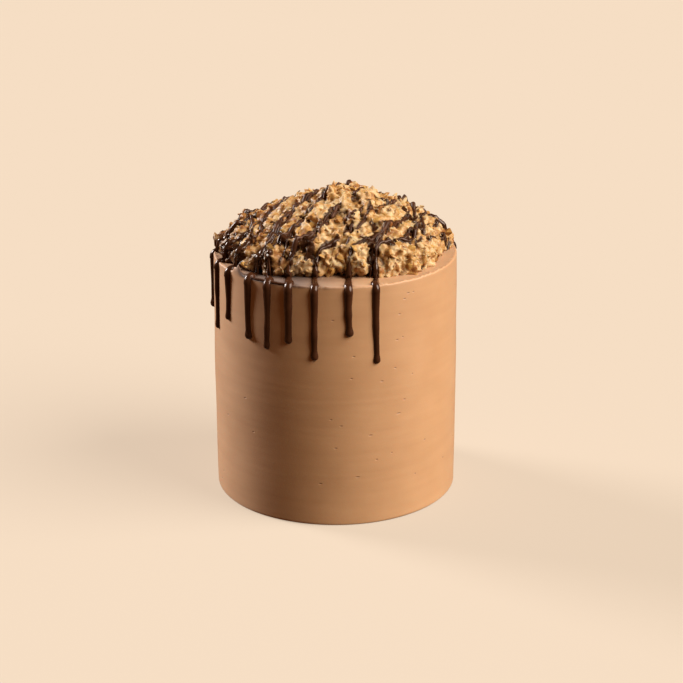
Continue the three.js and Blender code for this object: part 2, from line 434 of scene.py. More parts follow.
SCATTER_INPUTS = {
    "Surface": "Geometry",
    "Variants": "Collection",
    "Last variant": "Int",
    "Spacing": "Float",
    "Tilt": "Float",
    "Smallest": "Float",
    "Largest": "Float",
    "Lift": "Float",
    "Smooth": "Bool",
    "Seed": "Int",
    "Material": "Material",
}
MOST_POINTS = 1e7


def random_number(tree, given, offset, least, most, kind="FLOAT"):
    """A random number between two limits, from the seed and an offset to it."""
    seed = math_node(tree, "ADD", given["Seed"], offset)
    inputs = {"Min": least, "Max": most, "Seed": seed}
    return result(tree, "FunctionNodeRandomValue", inputs, data_type=kind)


def scatter_tree(name):
    """Scatters variants of a piece over the marked part of a surface."""
    tree, given = new_tree(name, SCATTER_INPUTS)
    points, upright = scatter_points(tree, given)
    kinds = {"Collection": given["Variants"], "Separate Children": True, "Reset Children": True}
    place = {
        "Points": points,
        "Instance": result(tree, "GeometryNodeCollectionInfo", kinds),
        "Pick Instance": True,
        "Instance Index": random_number(tree, given, 1, 0, given["Last variant"], "INT"),
        "Rotation": scatter_turn(tree, given, upright),
        "Scale": random_number(tree, given, 2, given["Smallest"], given["Largest"]),
    }
    tone = {
        "Geometry": result(tree, "GeometryNodeInstanceOnPoints", place),
        "Name": "tone",
        "Value": random_number(tree, given, 3, 0.0, 1.0),
    }
    toned = result(tree, "GeometryNodeStoreNamedAttribute", tone, domain="INSTANCE")
    end_tree(tree, given, toned, given["Smooth"])
    return tree


def scatter_points(tree, given):
    """Evenly spread points where the surface is marked, lifted along its normal."""
    inputs = {
        "Mesh": given["Surface"],
        "Distance Min": given["Spacing"],
        "Density Max": MOST_POINTS,
        "Density Factor": result(tree, "GeometryNodeInputNamedAttribute", {"Name": "shows"}),
        "Seed": given["Seed"],
    }
    kind = "GeometryNodeDistributePointsOnFaces"
    spread = add_node(tree, kind, inputs, distribute_method="POISSON")
    lift = {"Vector": spread.outputs["Normal"], "Scale": given["Lift"]}
    rise = result(tree, "ShaderNodeVectorMath", lift, operation="SCALE")
    move = {"Geometry": spread.outputs["Points"], "Offset": rise}
    return result(tree, "GeometryNodeSetPosition", move), spread.outputs["Rotation"]


def scatter_turn(tree, given, upright):
    """Turns each piece freely about the surface's normal and tilts it up to a limit."""
    most = given["Tilt"]
    least = math_node(tree, "MULTIPLY", most, -1.0)
    angles = {
        "X": random_number(tree, given, 4, least, most),
        "Y": random_number(tree, given, 5, least, most),
        "Z": random_number(tree, given, 6, 0.0, TURN),
    }
    euler = {"Euler": result(tree, "ShaderNodeCombineXYZ", angles)}
    own = result(tree, "FunctionNodeEulerToRotation", euler)
    both = {"Rotation": upright, "Rotate By": own}
    return result(tree, "FunctionNodeRotateRotation", both, rotation_space="LOCAL")


# Materials

# Heights over which the drizzle turns lighter brown: partly thin chocolate, partly painted sheen.
THIN_AND_SHEEN_HEIGHTS = (WALL_TOP + 13 * MM, WALL_TOP + 24 * MM)
COAT_THINNESS = 0.1


def new_material(name):
    material = bpy.data.materials.new(name)
    material.use_nodes = True
    tree = material.node_tree
    return material, tree, tree.nodes["Principled BSDF"]


def object_place(tree, stretch=(1.0, 1.0, 1.0)):
    where = add_node(tree, "ShaderNodeTexCoord").outputs["Object"]
    return result(tree, "ShaderNodeMapping", {"Vector": where, "Scale": stretch})


def noise_texture(tree, scale, detail, roughness=0.55, stretch=(1.0, 1.0, 1.0)):
    inputs = {
        "Vector": object_place(tree, stretch),
        "Scale": scale,
        "Detail": detail,
        "Roughness": roughness,
    }
    return result(tree, "ShaderNodeTexNoise", inputs)


def attribute(tree, name):
    return add_node(tree, "ShaderNodeAttribute", attribute_name=name).outputs["Fac"]


def mean(tree, a, b, share=0.5):
    """The mean of two patterns, the first of which counts for a share."""
    first = math_node(tree, "MULTIPLY", a, share)
    return math_node(tree, "ADD", first, math_node(tree, "MULTIPLY", b, 1.0 - share))


def colour_ramp(tree, factor, *stops):
    ramp = add_node(tree, "ShaderNodeValToRGB", {"Fac": factor})
    elements = ramp.color_ramp.elements
    while len(elements) < len(stops):
        elements.new(0.5)
    for element, (position, colour) in zip(elements, stops):
        element.position = position
        element.color = (*colour, 1.0)
    return ramp.outputs["Color"]


def mix_colour(tree, factor, a, b):
    """Mixes from a colour socket to a fixed colour."""
    inputs = {"Factor": factor, "A": a, "B": (*b, 1.0)}
    return result(tree, "ShaderNodeMix", inputs, data_type="RGBA")


def spread_values(tree, factor, low, high, span=(0.0, 1.0)):
    """Maps a pattern, which is 0 to 1 or in a given span, to the range between two numbers."""
    inputs = {"Value": factor, "From Min": span[0], "From Max": span[1]}
    return result(tree, "ShaderNodeMapRange", {**inputs, "To Min": low, "To Max": high})


def bump(tree, height, distance, strength):
    inputs = {"Height": height, "Distance": distance, "Strength": strength}
    return result(tree, "ShaderNodeBump", inputs)


def soft(weight, radius, scale):
    """Shader inputs that let light spread under the surface."""
    return {"Subsurface Weight": weight, "Subsurface Radius": radius, "Subsurface Scale": scale}


def chocolate_coat(tree, colour, roughness):
    """Shader inputs that turn a topping to chocolate where the drizzle has run over it."""
    look = bpy.context.scene.cake_chocolate
    cover = attribute(tree, "chocolate")
    # The coat takes a small share of the lighter brown, which is partly painted sheen.
    chocolate = mixed(look.colour, look.thin_and_sheen_colour, COAT_THINNESS)
    return {
        "Base Color": mix_colour(tree, cover, colour, chocolate),
        "Roughness": spread_values(tree, cover, roughness, 0.22),
        "Specular IOR Level": spread_values(tree, cover, 0.42, 0.2),
        "Specular Tint": (1.0, 0.8, 0.6, 1.0),
    }


def buttercream_material():
    """Satin chocolate buttercream: level streaks, mottling, painted shade inside the air pockets
    and painted shade over the front-left of the top.
    """
    look = bpy.context.scene.cake_buttercream
    material, tree, shader = new_material("chocolate_buttercream")
    streaks = noise_texture(tree, 20.0, 4.0, 0.5, stretch=(1, 1, 9))
    mottle = noise_texture(tree, 45.0, 3.0)
    grain = noise_texture(tree, 1400.0, 3.0)
    pattern = mean(tree, streaks, mottle)
    cream = colour_ramp(tree, pattern, (0.3, look.dark_colour), (0.7, look.light_colour))
    # Painted shade darkens the inside of each air pocket, the more the deeper it is.
    pits_shaded = mix_colour(tree, attribute(tree, "pit"), cream, look.pit_shade_colour)
    inputs = {
        # Painted shade on the front-left of the top, laid over the colour.
        "Base Color": mix_colour(tree, attribute(tree, "painted_ring_shade"), pits_shaded, look.ring_shade_colour),
        "Roughness": spread_values(tree, mottle, 0.52, 0.66),
        "Normal": bump(tree, mean(tree, streaks, grain), 0.15 * MM, 0.4),
        "IOR": 1.45,
        "Specular IOR Level": 1.0,
        "Sheen Weight": 0.22,
        "Sheen Roughness": 0.45,
        "Sheen Tint": (1.0, 0.93, 0.87, 1.0),
    }
    feed(tree, shader, {**inputs, **soft(0.12, (1.0, 0.45, 0.2), 1.5 * MM)})
    return material


def custard_material():
    """Moist coconut custard: every clump and flake has its own tone, with painted shade in the
    hollows and on the low left of the heap.
    """
    look = bpy.context.scene.cake_topping
    material, tree, shader = new_material("coconut_custard")
    blotch = noise_texture(tree, 420.0, 5.0, 0.65)
    blotch = spread_values(tree, blotch, 0.0, 1.0, (0.3, 0.7))
    grain = noise_texture(tree, 700.0, 4.0, 0.65)
    surface = colour_ramp(
        tree,
        mean(tree, attribute(tree, "tone"), blotch, 0.7),
        (0.22, look.custard_brown),
        (0.42, look.custard_gold),
        (0.74, look.custard_cream),
    )
    # The depth value blends in painted shade: in the hollows and on the low left of the heap.
    colour = mix_colour(tree, attribute(tree, "depth"), surface, look.custard_shade_colour)
    feed(tree, shader, chocolate_coat(tree, colour, spread_values(tree, grain, 0.26, 0.52)))
    feed(tree, shader, {"Normal": bump(tree, grain, 0.5 * MM, 0.7)})
    feed(tree, shader, soft(0.3, (1.0, 0.5, 0.22), 2.2 * MM))
    return material


def toned_ramp(tree, pattern, places, dark, light):
    """Colours from dark to light by each piece's own tone and a pattern."""
    factor = mean(tree, attribute(tree, "tone"), pattern)
    return colour_ramp(tree, factor, *zip(places, (dark, mixed(dark, light, 0.5), light)))


def coconut_material():
    """Shreds of coconut, each soaked by its own amount."""
    look = bpy.context.scene.cake_topping
    material, tree, shader = new_material("coconut_shred")
    blotch = noise_texture(tree, 260.0, 3.0)
    shades = (look.coconut_dark, look.coconut_light)
    colour = toned_ramp(tree, blotch, (0.2, 0.5, 0.8), *shades)
    feed(tree, shader, chocolate_coat(tree, colour, spread_values(tree, blotch, 0.25, 0.5)))
    feed(tree, shader, {"Normal": bump(tree, blotch, 0.4 * MM, 0.4)})
    feed(tree, shader, soft(0.3, (1.0, 0.55, 0.28), 2.0 * MM))
    return material


def pecan_material():
    """Chopped pecans, some skin side up and some broken side up."""
    look = bpy.context.scene.cake_topping
    material, tree, shader = new_material("chopped_pecan")
    grain = noise_texture(tree, 320.0, 5.0, 0.6)
    colour = toned_ramp(tree, grain, (0.22, 0.42, 0.72), look.nut_dark, look.nut_light)
    feed(tree, shader, chocolate_coat(tree, colour, spread_values(tree, grain, 0.3, 0.45)))
    feed(tree, shader, {"Normal": bump(tree, grain, 0.5 * MM, 0.6)})
    return material


def chocolate_material():
    """Dark glossy chocolate."""
    look = bpy.context.scene.cake_chocolate
    material, tree, shader = new_material("dark_chocolate")
    swirl = noise_texture(tree, 90.0, 3.0)
    warm = tuple(1.6 * c for c in look.colour)
    inputs = {
        "Base Color": colour_ramp(tree, swirl, (0.35, look.colour), (0.7, warm)),
        "Roughness": spread_values(tree, swirl, 0.18, 0.30),
        "IOR": 1.48,
        "Specular IOR Level": 0.3,
        "Specular Tint": (1.0, 0.75, 0.65, 1.0),
        "Coat Weight": 0.12,
        "Coat Roughness": 0.10,
    }
    feed(tree, shader, inputs)
    return material


def drizzle_material():
    """Chocolate on the heap: glossy and dark low down; duller, thinner and lighter brown on top, a
    colour that is partly thin chocolate and partly painted sheen.
    """
    look = bpy.context.scene.cake_chocolate
    material, tree, shader = new_material("set_chocolate")
    swirl = noise_texture(tree, 240.0, 3.0)
    place = add_node(tree, "ShaderNodeSeparateXYZ", {"Vector": object_place(tree)})
    thin = spread_values(tree, place.outputs["Z"], 0.0, 1.0, THIN_AND_SHEEN_HEIGHTS)
    set_hard = colour_ramp(tree, swirl, (0.35, look.colour), (0.65, look.thin_and_sheen_colour))
    still_thick = math_node(tree, "SUBTRACT", 1.0, thin)
    inputs = {
        # Lighter brown on top: partly thin chocolate, partly painted sheen.
        "Base Color": mix_colour(tree, still_thick, set_hard, look.colour),
        "Roughness": spread_values(tree, thin, 0.2, 0.44),
        "Specular IOR Level": spread_values(tree, thin, 0.5, 0.25),
        "Specular Tint": (1.0, 0.8, 0.7, 1.0),
    }
    feed(tree, shader, inputs)
    return material


def floor_material():
    """Pale matt floor."""
    look = bpy.context.scene.cake_studio
    material, tree, shader = new_material("pale_floor")
    mottle = noise_texture(tree, 1.2, 2.0)
    darker = tuple(0.98 * c for c in look.floor_colour)
    inputs = {
        "Base Color": colour_ramp(tree, mottle, (0.3, darker), (0.7, look.floor_colour)),
        "Roughness": 0.9,
        "Specular IOR Level": 0.0,
        "Emission Color": (*look.floor_glow, 1.0),
        "Emission Strength": 1.0,
    }
    feed(tree, shader, inputs)
    material.cycles.emission_sampling = "NONE"
    return material


# Buttercream

WALL_COLUMNS = 420
WALL_ROWS = 158
BASE_RINGS = (0.3, 0.6, 0.85, 0.95)
BASE_STEPS = 4
RING_ROWS = 20
RING_INSIDE = 48 * MM
RIM_STEPS = 7
UNDERSIDE = 0.9
WAVES_PER_METRE = 22
WAVE_FLATNESS = 1.4
RIDGES_ROUND = 30
RIDGES_UP = 520
CRAGS_ROUND = 22
CREST_WIDTH = 1.1 * MM
TIP_RAGS = 60
TIP_AZIMUTH = math.radians(-51)
TIP_HALF_WIDTH = math.radians(3.2)
TIP_HEIGHT = 6.5 * MM
PIT_SEED = 3
PIT_HEIGHTS = (0.03, 0.96)
PIT_HALF_LENGTHS = (0.5, 1.1)
PIT_MARGIN = 0.9 * MM
PIT_HALF_HEIGHT = 0.42 * MM
PIT_DEPTH = 0.22 * MM
PIT_EDGE = (0.3, 1.25)
PIT_CUTS = 3
WALL_SKIN = 1.5 * MM
# Painted shade on the top: azimuths in degrees where it begins, where it is full and where it has
# faded out, then the heights over which it comes onto the top.
RING_SHADE_START = (-56, -47)
RING_SHADE_FULL = -19
RING_SHADE_END = 18
RING_SHADE_LOW = (WALL_TOP - 1.1 * MM, WALL_TOP - 0.5 * MM)


def wall_radius(z):
    size = bpy.context.scene.cake_buttercream
    t = z / size.height
    taper = lerp(size.base_radius, size.rim_radius, t)
    return taper + size.bow * math.sin(math.pi * t)


def rim_radius():
    return bpy.context.scene.cake_buttercream.rim_radius


def buttercream_profile():
    """Radius and height of each row, from the middle of the base to the middle of the top."""
    size = bpy.context.scene.cake_buttercream
    base = wall_radius(0.0)
    rows = [(share * base, 0.0) for share in BASE_RINGS]
    for turn in np.linspace(0.0, math.pi / 2, BASE_STEPS):
        inward = size.base_edge * (1 - math.sin(turn))
        rows.append((base - inward, size.base_edge * (1 - math.cos(turn))))
    for z in np.linspace(size.base_edge, size.height - size.rim_edge, WALL_ROWS)[1:]:
        rows.append((wall_radius(z), z))
    rim = rim_radius()
    for turn in np.linspace(0.0, math.pi / 2, RIM_STEPS)[1:]:
        inward = size.rim_edge * (1 - math.cos(turn))
        rows.append((rim - inward, size.height - size.rim_edge * (1 - math.sin(turn))))
    for r in np.linspace(rim - size.rim_edge, RING_INSIDE, RING_ROWS)[1:]:
        rows.append((r, size.height))
    rows.append((RING_INSIDE / 2, size.height))
    return np.array(rows)


def scraper_marks(x, y, z):
    """The scraper's long waves and its fine level ridges at a place on the wall."""
    size = bpy.context.scene.cake_buttercream
    wave = noise.noise(Vector((x, y, WAVE_FLATNESS * z)) * WAVES_PER_METRE)
    ridge = noise.noise(Vector((RIDGES_ROUND * x, RIDGES_ROUND * y, RIDGES_UP * z)))
    return size.waviness * wave + size.smear * ridge


def rim_crest(azimuth):
    """Height of the ragged crest at the rim."""
    size = bpy.context.scene.cake_buttercream
    around = Vector((math.sin(azimuth), math.cos(azimuth), 0.0))
    rough = noise.fractal(around * CRAGS_ROUND, 0.8, 2.1, 6)
    tip = TIP_HEIGHT * bell(azimuth - TIP_AZIMUTH, TIP_HALF_WIDTH)
    ragged = 0.7 + 0.5 * noise.noise(around * TIP_RAGS)
    return size.crest * (0.25 + max(-0.2, rough)) + tip * ragged


def buttercream_points(rows):
    """The skin's points row by row, with the scraper's marks and the ragged rim."""
    size = bpy.context.scene.cake_buttercream
    slope = np.gradient(rows, axis=0)
    outward = np.stack((slope[:, 1], -slope[:, 0]), axis=1)
    outward /= np.linalg.norm(outward, axis=1)[:, None]
    azimuths = np.linspace(-math.pi, math.pi, WALL_COLUMNS, endpoint=False)
    points = np.zeros((len(rows), WALL_COLUMNS, 3))
    crests = [rim_crest(azimuth) for azimuth in azimuths]
    for i, (r, z) in enumerate(rows):
        under = z < size.base_edge and outward[i, 0] < UNDERSIDE
        near_rim = bell(r - rim_radius() + size.rim_edge, CREST_WIDTH)
        near_rim *= z > size.height - 2 * size.rim_edge
        for j, azimuth in enumerate(azimuths):
            x, y = on_circle(r, azimuth)
            push = 0.0 if under else scraper_marks(x, y, z)
            x, y = on_circle(r + push * outward[i, 0], azimuth)
            points[i, j] = x, y, z + push * outward[i, 1] + near_rim * crests[j]
    return points


def revolved_mesh(name, points, top):
    """Joins rows of points to a closed skin, with one point at the middle of each end."""
    row_count, columns, _ = points.shape
    faces = ring_faces(row_count, columns)
    low = row_count * columns
    last = low - columns
    for i in range(columns):
        j = (i + 1) % columns
        faces.append((low, j, i))
        faces.append((low + 1, last + i, last + j))
    ends = ((0.0, 0.0, 0.0), (0.0, 0.0, top))
    return mesh_from_arrays(name, np.concatenate((points.reshape(-1, 3), ends)), faces)


def pit_list():
    """Azimuth, height and half length of every air pocket, the plain ones first."""
    size = bpy.context.scene.cake_buttercream
    draw = random.Random(PIT_SEED)
    pits = [(math.radians(a), z * MM, length / 2 * MM) for a, z, length in PLAIN_PITS]
    for _ in range(size.pit_count):
        azimuth = draw.uniform(-math.pi, math.pi)
        height = draw.uniform(*PIT_HEIGHTS) * size.height
        pits.append((azimuth, height, draw.uniform(*PIT_HALF_LENGTHS) * MM))
    return pits


def wall_offsets(places, pit):
    """How far places on the wall lie from an air pocket, along the wall and upwards."""
    azimuth = np.arctan2(places[:, 0], -places[:, 1])
    radius = bpy.context.scene.cake_buttercream.base_radius
    return half_turn(azimuth - pit[0]) * radius, places[:, 2] - pit[1]


def refine_near_pits(mesh, pits):
    """Cuts the wall's faces finer around each air pocket."""
    with shape_of(mesh) as shape:
        middles = np.array([face.calc_center_median() for face in shape.faces])
        near = np.zeros(len(middles), bool)
        for pit in pits:
            along, up = wall_offsets(middles, pit)
            beside = abs(along) < pit[2] + PIT_MARGIN
            near |= beside & (abs(up) < PIT_HALF_HEIGHT + PIT_MARGIN)
        marked = [face for face, is_near in zip(shape.faces, near) if is_near]
        edges = once(edge for face in marked for edge in face.edges)
        bmesh.ops.subdivide_edges(shape, edges=edges, cuts=PIT_CUTS, use_grid_fill=True)


def sink_pits(mesh, pits):
    """Sinks the air pockets into the wall, and notes where they are."""
    points = read_vectors(mesh)
    depth = np.zeros(len(points))
    for pit in pits:
        along, up = wall_offsets(points, pit)
        away = np.hypot(along / pit[2], up / PIT_HALF_HEIGHT)
        depth = np.maximum(depth, 1 - smoothstep(*PIT_EDGE, away))
    radius = np.hypot(points[:, 0], points[:, 1])
    depth[radius < rim_radius() - WALL_SKIN] = 0.0
    shrink = 1 - PIT_DEPTH * depth / np.maximum(radius, MM)
    points[:, :2] *= shrink[:, None]
    write_points(mesh, points)
    # How deep each pocket lies also sets how much painted shade darkens it.
    store_values(mesh, "pit", depth)


def mark_painted_ring_shade(mesh):
    """Notes where painted shade darkens the top on its front-left, full on the left and fading out
    towards the right.
    """
    x, y, z = read_vectors(mesh).T
    azimuth = np.degrees(np.arctan2(x, -y))
    shade_fades = np.clip((RING_SHADE_END - azimuth) / (RING_SHADE_END - RING_SHADE_FULL), 0.0, 1.0)
    on_top = smoothstep(*RING_SHADE_LOW, z)
    store_values(mesh, "painted_ring_shade", on_top * shade_fades * smoothstep(*RING_SHADE_START, azimuth))


def buttercream_mesh():
    points = buttercream_points(buttercream_profile())
    mesh = revolved_mesh("buttercream", points, bpy.context.scene.cake_buttercream.height)
    pits = pit_list()
    refine_near_pits(mesh, pits)
    sink_pits(mesh, pits)
    mark_painted_ring_shade(mesh)
    return mesh


# Heap

DOME_ROWS = 40
DOME_COLUMNS = 120
CANDIDATES = 8
EVENNESS = 0.62
HEART_INSET = 13 * MM
HEART_LUMPS = 120
HEART_RADIUS = 10 * MM
HEART_TONE = 0.3
BALL_KINDS = 12
LUMP_ROUGHNESS = 0.26
CLUMP_SINK = 0.82
CLUMP_UNEVENNESS = (0.8 * MM, 5.0 * MM)
CLUMP_SHAPES = (0.75, 1.1)
CLUMP_TONES = (0.3, 0.6)
GAP_SINK = 3.5 * MM
GAP_EDGE = 3 * MM
CRUMB_SINK = 0.3
CRUMB_FINENESS = 1.4
CRUMB_SHAPES = (0.7, 1.15)
CRUMB_TONES = (0.25, 0.7)
FLAKE_ROUGHNESS = 0.14
FLAKE_TILT = math.radians(36)
FLAKE_LEAST = np.array((1.2, 1.0, 0.8)) * MM
FLAKE_MOST = np.array((2.7, 2.0, 1.6)) * MM
SHRED_SHARE = 0.45
SHRED_LEAST = np.array((2.0, 0.9, 0.7)) * MM
SHRED_MOST = np.array((4.4, 1.4, 1.1)) * MM
TONE_DRIFT = 0.3
DRIFTS_PER_METRE = 85
# Painted shade: how far the tone is lowered on the left, which faces away from the key light.
LEFT_SHADE = 0.23
LEFT_SIDE = 55 * MM
# Painted shade on the low left of the heap: its most, the heights over the cake's top across which
# it fades, and the plan places across which it fades to the right.
FOOT_SHADE = 0.62
FOOT_SHADE_RISE = (6 * MM, 17 * MM)
FOOT_SHADE_SIDE = (-24 * MM, 0.0)
OUTSIDE = 10 * MM
CRAG_HEIGHT = 0.25 * MM
CRAGS_PER_METRE = 420
HEAP_SINK = 0.5 * MM
FLAT_MARGIN = 0.001 * MM
FLAT_ANGLE = 0.01
# Painted shade in the hollows: the depths under the outline over which it grows, and its most.
HOLLOW = (2.0 * MM, 7.0 * MM)
HOLLOW_SHADE = 0.85
RUN_IN = (2.6 * MM, 4.6 * MM)
PIECES_FACE = 0.75
PIECES_DEEPEST = 6 * MM
PIECES_LOWEST = 2.5 * MM
PIECES_REACH = 69.5 * MM

# Most flakes are pale coconut, some golden and a few brown nut: the share up to which a
# flake is of a kind, and the range of that kind's tones.
FLAKE_TONES = ((0.56, (0.5, 0.92)), (0.86, (0.3, 0.55)), (1.0, (0.0, 0.2)))

# Where the heap's foot stands back from the rim: the azimuth in degrees, the depth in
# millimetres and how many degrees wide it is to either side.
FOOT_INSETS = (
    (-6, 17, 40),
    (72, 5, 18),
)

# The clumps that stand out on the heap: their place in plan, the height of their top over
# the cake's top and their radius in millimetres, and their tone.
STANDING_CLUMPS = (
    (2, 18, 36.6, 5.0, 0.6),
    (11, 18, 36.6, 4.6, 0.5),
    (40, 34, 22.6, 5.5, 0.35),
    (-69, 4, 9.4, 4.2, 0.12),
    (24, 22, 29.0, 5.0, 0.5),
    (-15, 22, 30.6, 4.6, 0.8),
    (-54, 24, 15.0, 5.4, 0.45),
)


def heap_reach(azimuth):
    """How far the heap reaches from the axis at an azimuth."""
    reach = bpy.context.scene.cake_topping.reach
    for middle, depth, width in FOOT_INSETS:
        reach = reach - depth * MM * bell(half_turn(np.degrees(azimuth) - middle, 360), width)
    return reach


def dome_height(x, y, inset=0.0):
    """Height of the heap's outline over the cake's top, or of a dome inside it."""
    size = bpy.context.scene.cake_topping
    r = np.hypot(x, y)
    share = np.minimum(1.0, r / (heap_reach(np.arctan2(x, -y)) - inset))
    shoulder = (size.shoulder_height - inset) * (1 - share**2) ** size.shoulder_fullness
    away = np.hypot(x - size.cone_middle, y)
    return shoulder + size.cone_height * np.maximum(0.0, 1 - away / size.cone_reach)


def dome_grid(inset):
    """Rows of points on a dome inside the heap's outline, from its foot to its top."""
    azimuths = np.linspace(0.0, TURN, DOME_COLUMNS, endpoint=False)
    leans = np.linspace(math.pi / 2, 0.0, DOME_ROWS)
    azimuth, lean = np.meshgrid(azimuths, leans)
    x, y = on_circle((heap_reach(azimuth) - inset) * np.sin(lean), azimuth)
    return np.stack((x, y, WALL_TOP + dome_height(x, y, inset)), axis=-1)


def spread_over_dome(count, inset, draw):
    """Pairs of a place and its normal, spread evenly over a dome inside the outline."""
    grid = dome_grid(inset)
    low = grid[:-1]
    across = (np.roll(low, -1, axis=1) - low).reshape(-1, 3)
    up = (grid[1:] - low).reshape(-1, 3)
    normal = np.cross(across, up)
    area = np.linalg.norm(normal, axis=1)
    pick = draw.choice(len(area), CANDIDATES * count, p=area / area.sum())
    share = draw.random((2, len(pick), 1))
    places = low.reshape(-1, 3)[pick] + share[0] * across[pick] + share[1] * up[pick]
    kept = keep_apart(places, count, EVENNESS * math.sqrt(area.sum() / count))
    return zip(places[kept], normal[pick[kept]] / area[pick[kept], None])


def keep_apart(places, count, apart):
    """Picks places in turn that lie far enough from all picked before."""
    kept = []
    for i, place in enumerate(places):
        if len(kept) == count:
            break
        if not kept or np.linalg.norm(places[kept] - place, axis=1).min() > apart:
            kept.append(i)
    return np.array(kept)


class Pile:
    """Clumps and flakes that still lie apart, each face with its piece's tone."""

    def __init__(self):
        self.points = []
        self.faces = []
        self.tones = []
        self.count = 0

    def add(self, kind, place, turn, halves, tone):
        points, faces = kind
        self.points.append(np.asarray(place) + (points * halves) @ np.asarray(turn).T)
        self.faces.append(faces + self.count)
        self.tones.append(np.full(len(faces), tone))
        self.count += len(points)

    def tree(self):
        points = np.concatenate(self.points).tolist()
        return BVHTree.FromPolygons(points, np.concatenate(self.faces).tolist())

    def mesh(self):
        faces = np.concatenate(self.faces).tolist()
        return mesh_from_arrays("topping_lumps", np.concatenate(self.points), faces)

    def tones_at(self, points):
        tree = self.tree()
        tones = np.concatenate(self.tones)
        return tones[[tree.find_nearest(Vector(p))[2] for p in points]]


def rough_ball(roughness, draw):
    """Points and faces of an uneven ball of radius 1."""
    shape = bmesh.new()
    bmesh.ops.create_icosphere(shape, subdivisions=2, radius=1.0)
    points = np.array([vertex.co for vertex in shape.verts])
    faces = np.array([[vertex.index for vertex in face.verts] for face in shape.faces])
    shape.free()
    return points * draw.uniform(1 - roughness, 1 + roughness, (len(points), 1)), faces


def rough_balls(roughness, draw):
    return [rough_ball(roughness, draw) for _ in range(BALL_KINDS)]


def lying_on(normal, tilt, draw):
    """A turn that lays a piece on a surface, spun freely and tilted up to a limit."""
    lean = draw.uniform(-tilt, tilt, 2)
    own = Euler((lean[0], lean[1], draw.uniform(0, TURN)))
    return normal.to_track_quat("Z", "Y").to_matrix() @ own.to_matrix()


def gap_depth(place):
    """How much deeper a clump lies where chocolate has pooled between its neighbours."""
    away = min(math.hypot(place[0] - x * MM, place[1] - y * MM) - r * MM for x, y, r in POOLS)
    return GAP_SINK * (1 - smoothstep(0.0, GAP_EDGE, away))


def tone_drift(place):
    """Slow drift of the tone from one part of the heap to the next, lowered on the left as painted
    shade, which makes it browner and darker there.
    """
    left = smoothstep(0.0, LEFT_SIDE, -place.x)
    return TONE_DRIFT * noise.noise(place * DRIFTS_PER_METRE) - LEFT_SHADE * left


def pile_clumps(pile, draw):
    """Piles the custard's clumps: those in the heart of the heap, then those that show."""
    size = bpy.context.scene.cake_topping
    kinds = rough_balls(LUMP_ROUGHNESS, draw)
    for place, normal in spread_over_dome(HEART_LUMPS, HEART_INSET, draw):
        turn = lying_on(Vector(normal), math.pi, draw)
        pile.add(kinds[0], place, turn, HEART_RADIUS, HEART_TONE)
    for place, normal in spread_over_dome(size.clump_count, 0.0, draw):
        radius = draw.uniform(size.clump_least, size.clump_most)
        sink = CLUMP_SINK * radius + draw.uniform(*CLUMP_UNEVENNESS) + gap_depth(place)
        turn = lying_on(Vector(normal), math.pi, draw)
        halves = radius * draw.uniform(*CLUMP_SHAPES, 3)
        tone = draw.uniform(*CLUMP_TONES) + tone_drift(Vector(place))
        pile.add(kinds[draw.integers(BALL_KINDS)], place - normal * sink, turn, halves, tone)
    for x, y, top, radius, tone in STANDING_CLUMPS:
        middle = (x * MM, y * MM, WALL_TOP + (top - radius) * MM)
        pile.add(kinds[draw.integers(BALL_KINDS)], middle, np.eye(3), radius * MM, tone)


def places_on_pile(pile, count, draw):
    """Places spread over a pile as it lies so far, with their normals."""
    tree = pile.tree()
    found = []
    for place, normal in spread_over_dome(count, 0.0, draw):
        out = Vector(normal)
        hit, facing, _, _ = tree.ray_cast(Vector(place) + out * OUTSIDE, -out)
        if hit is not None:
            found.append((hit, (facing + out).normalized()))
    return found


def pile_crumbs(pile, draw):
    """Sticks crumbs of custard to the clumps."""
    size = bpy.context.scene.cake_topping
    kinds = rough_balls(LUMP_ROUGHNESS, draw)
    for place, normal in places_on_pile(pile, size.crumb_count, draw):
        radius = lerp(size.crumb_least, size.crumb_most, draw.random() ** CRUMB_FINENESS)
        turn = lying_on(normal, math.pi, draw)
        halves = radius * draw.uniform(*CRUMB_SHAPES, 3)
        tone = draw.uniform(*CRUMB_TONES) + tone_drift(place)
        middle = place - normal * (CRUMB_SINK * radius)
        pile.add(kinds[draw.integers(BALL_KINDS)], middle, turn, halves, tone)


def flake_tone(draw):
    """Tone of a flake, which is drawn from the range of its kind."""
    kind = draw.random()
    return draw.uniform(*next(tones for share, tones in FLAKE_TONES if kind < share))


def pile_flakes(pile, draw):
    """Presses flakes of coconut and nut into the clumps and crumbs."""
    size = bpy.context.scene.cake_topping
    kinds = rough_balls(FLAKE_ROUGHNESS, draw)
    for place, normal in places_on_pile(pile, size.flake_count, draw):
        turn = lying_on(normal, FLAKE_TILT, draw)
        if draw.random() < SHRED_SHARE:
            halves = draw.uniform(SHRED_LEAST, SHRED_MOST)
        else:
            halves = draw.uniform(FLAKE_LEAST, FLAKE_MOST)
        tone = flake_tone(draw) + tone_drift(place)
        pile.add(kinds[draw.integers(BALL_KINDS)], place, turn, halves, tone)


def joined_skin(pile):
    """One skin round all of a pile's clumps and flakes."""
    mesh = pile.mesh()
    host = put_in_scene("topping_lumps", mesh)
    remesh = host.modifiers.new("Join lumps", "REMESH")
    remesh.mode = "VOXEL"
    remesh.voxel_size = bpy.context.scene.cake_topping.voxel
    remesh.use_smooth_shade = True
    joined = bake_modifiers(host)
    bpy.data.meshes.remove(mesh)
    with shape_of(joined) as shape:
        keep_largest_shell(shape)
    return joined


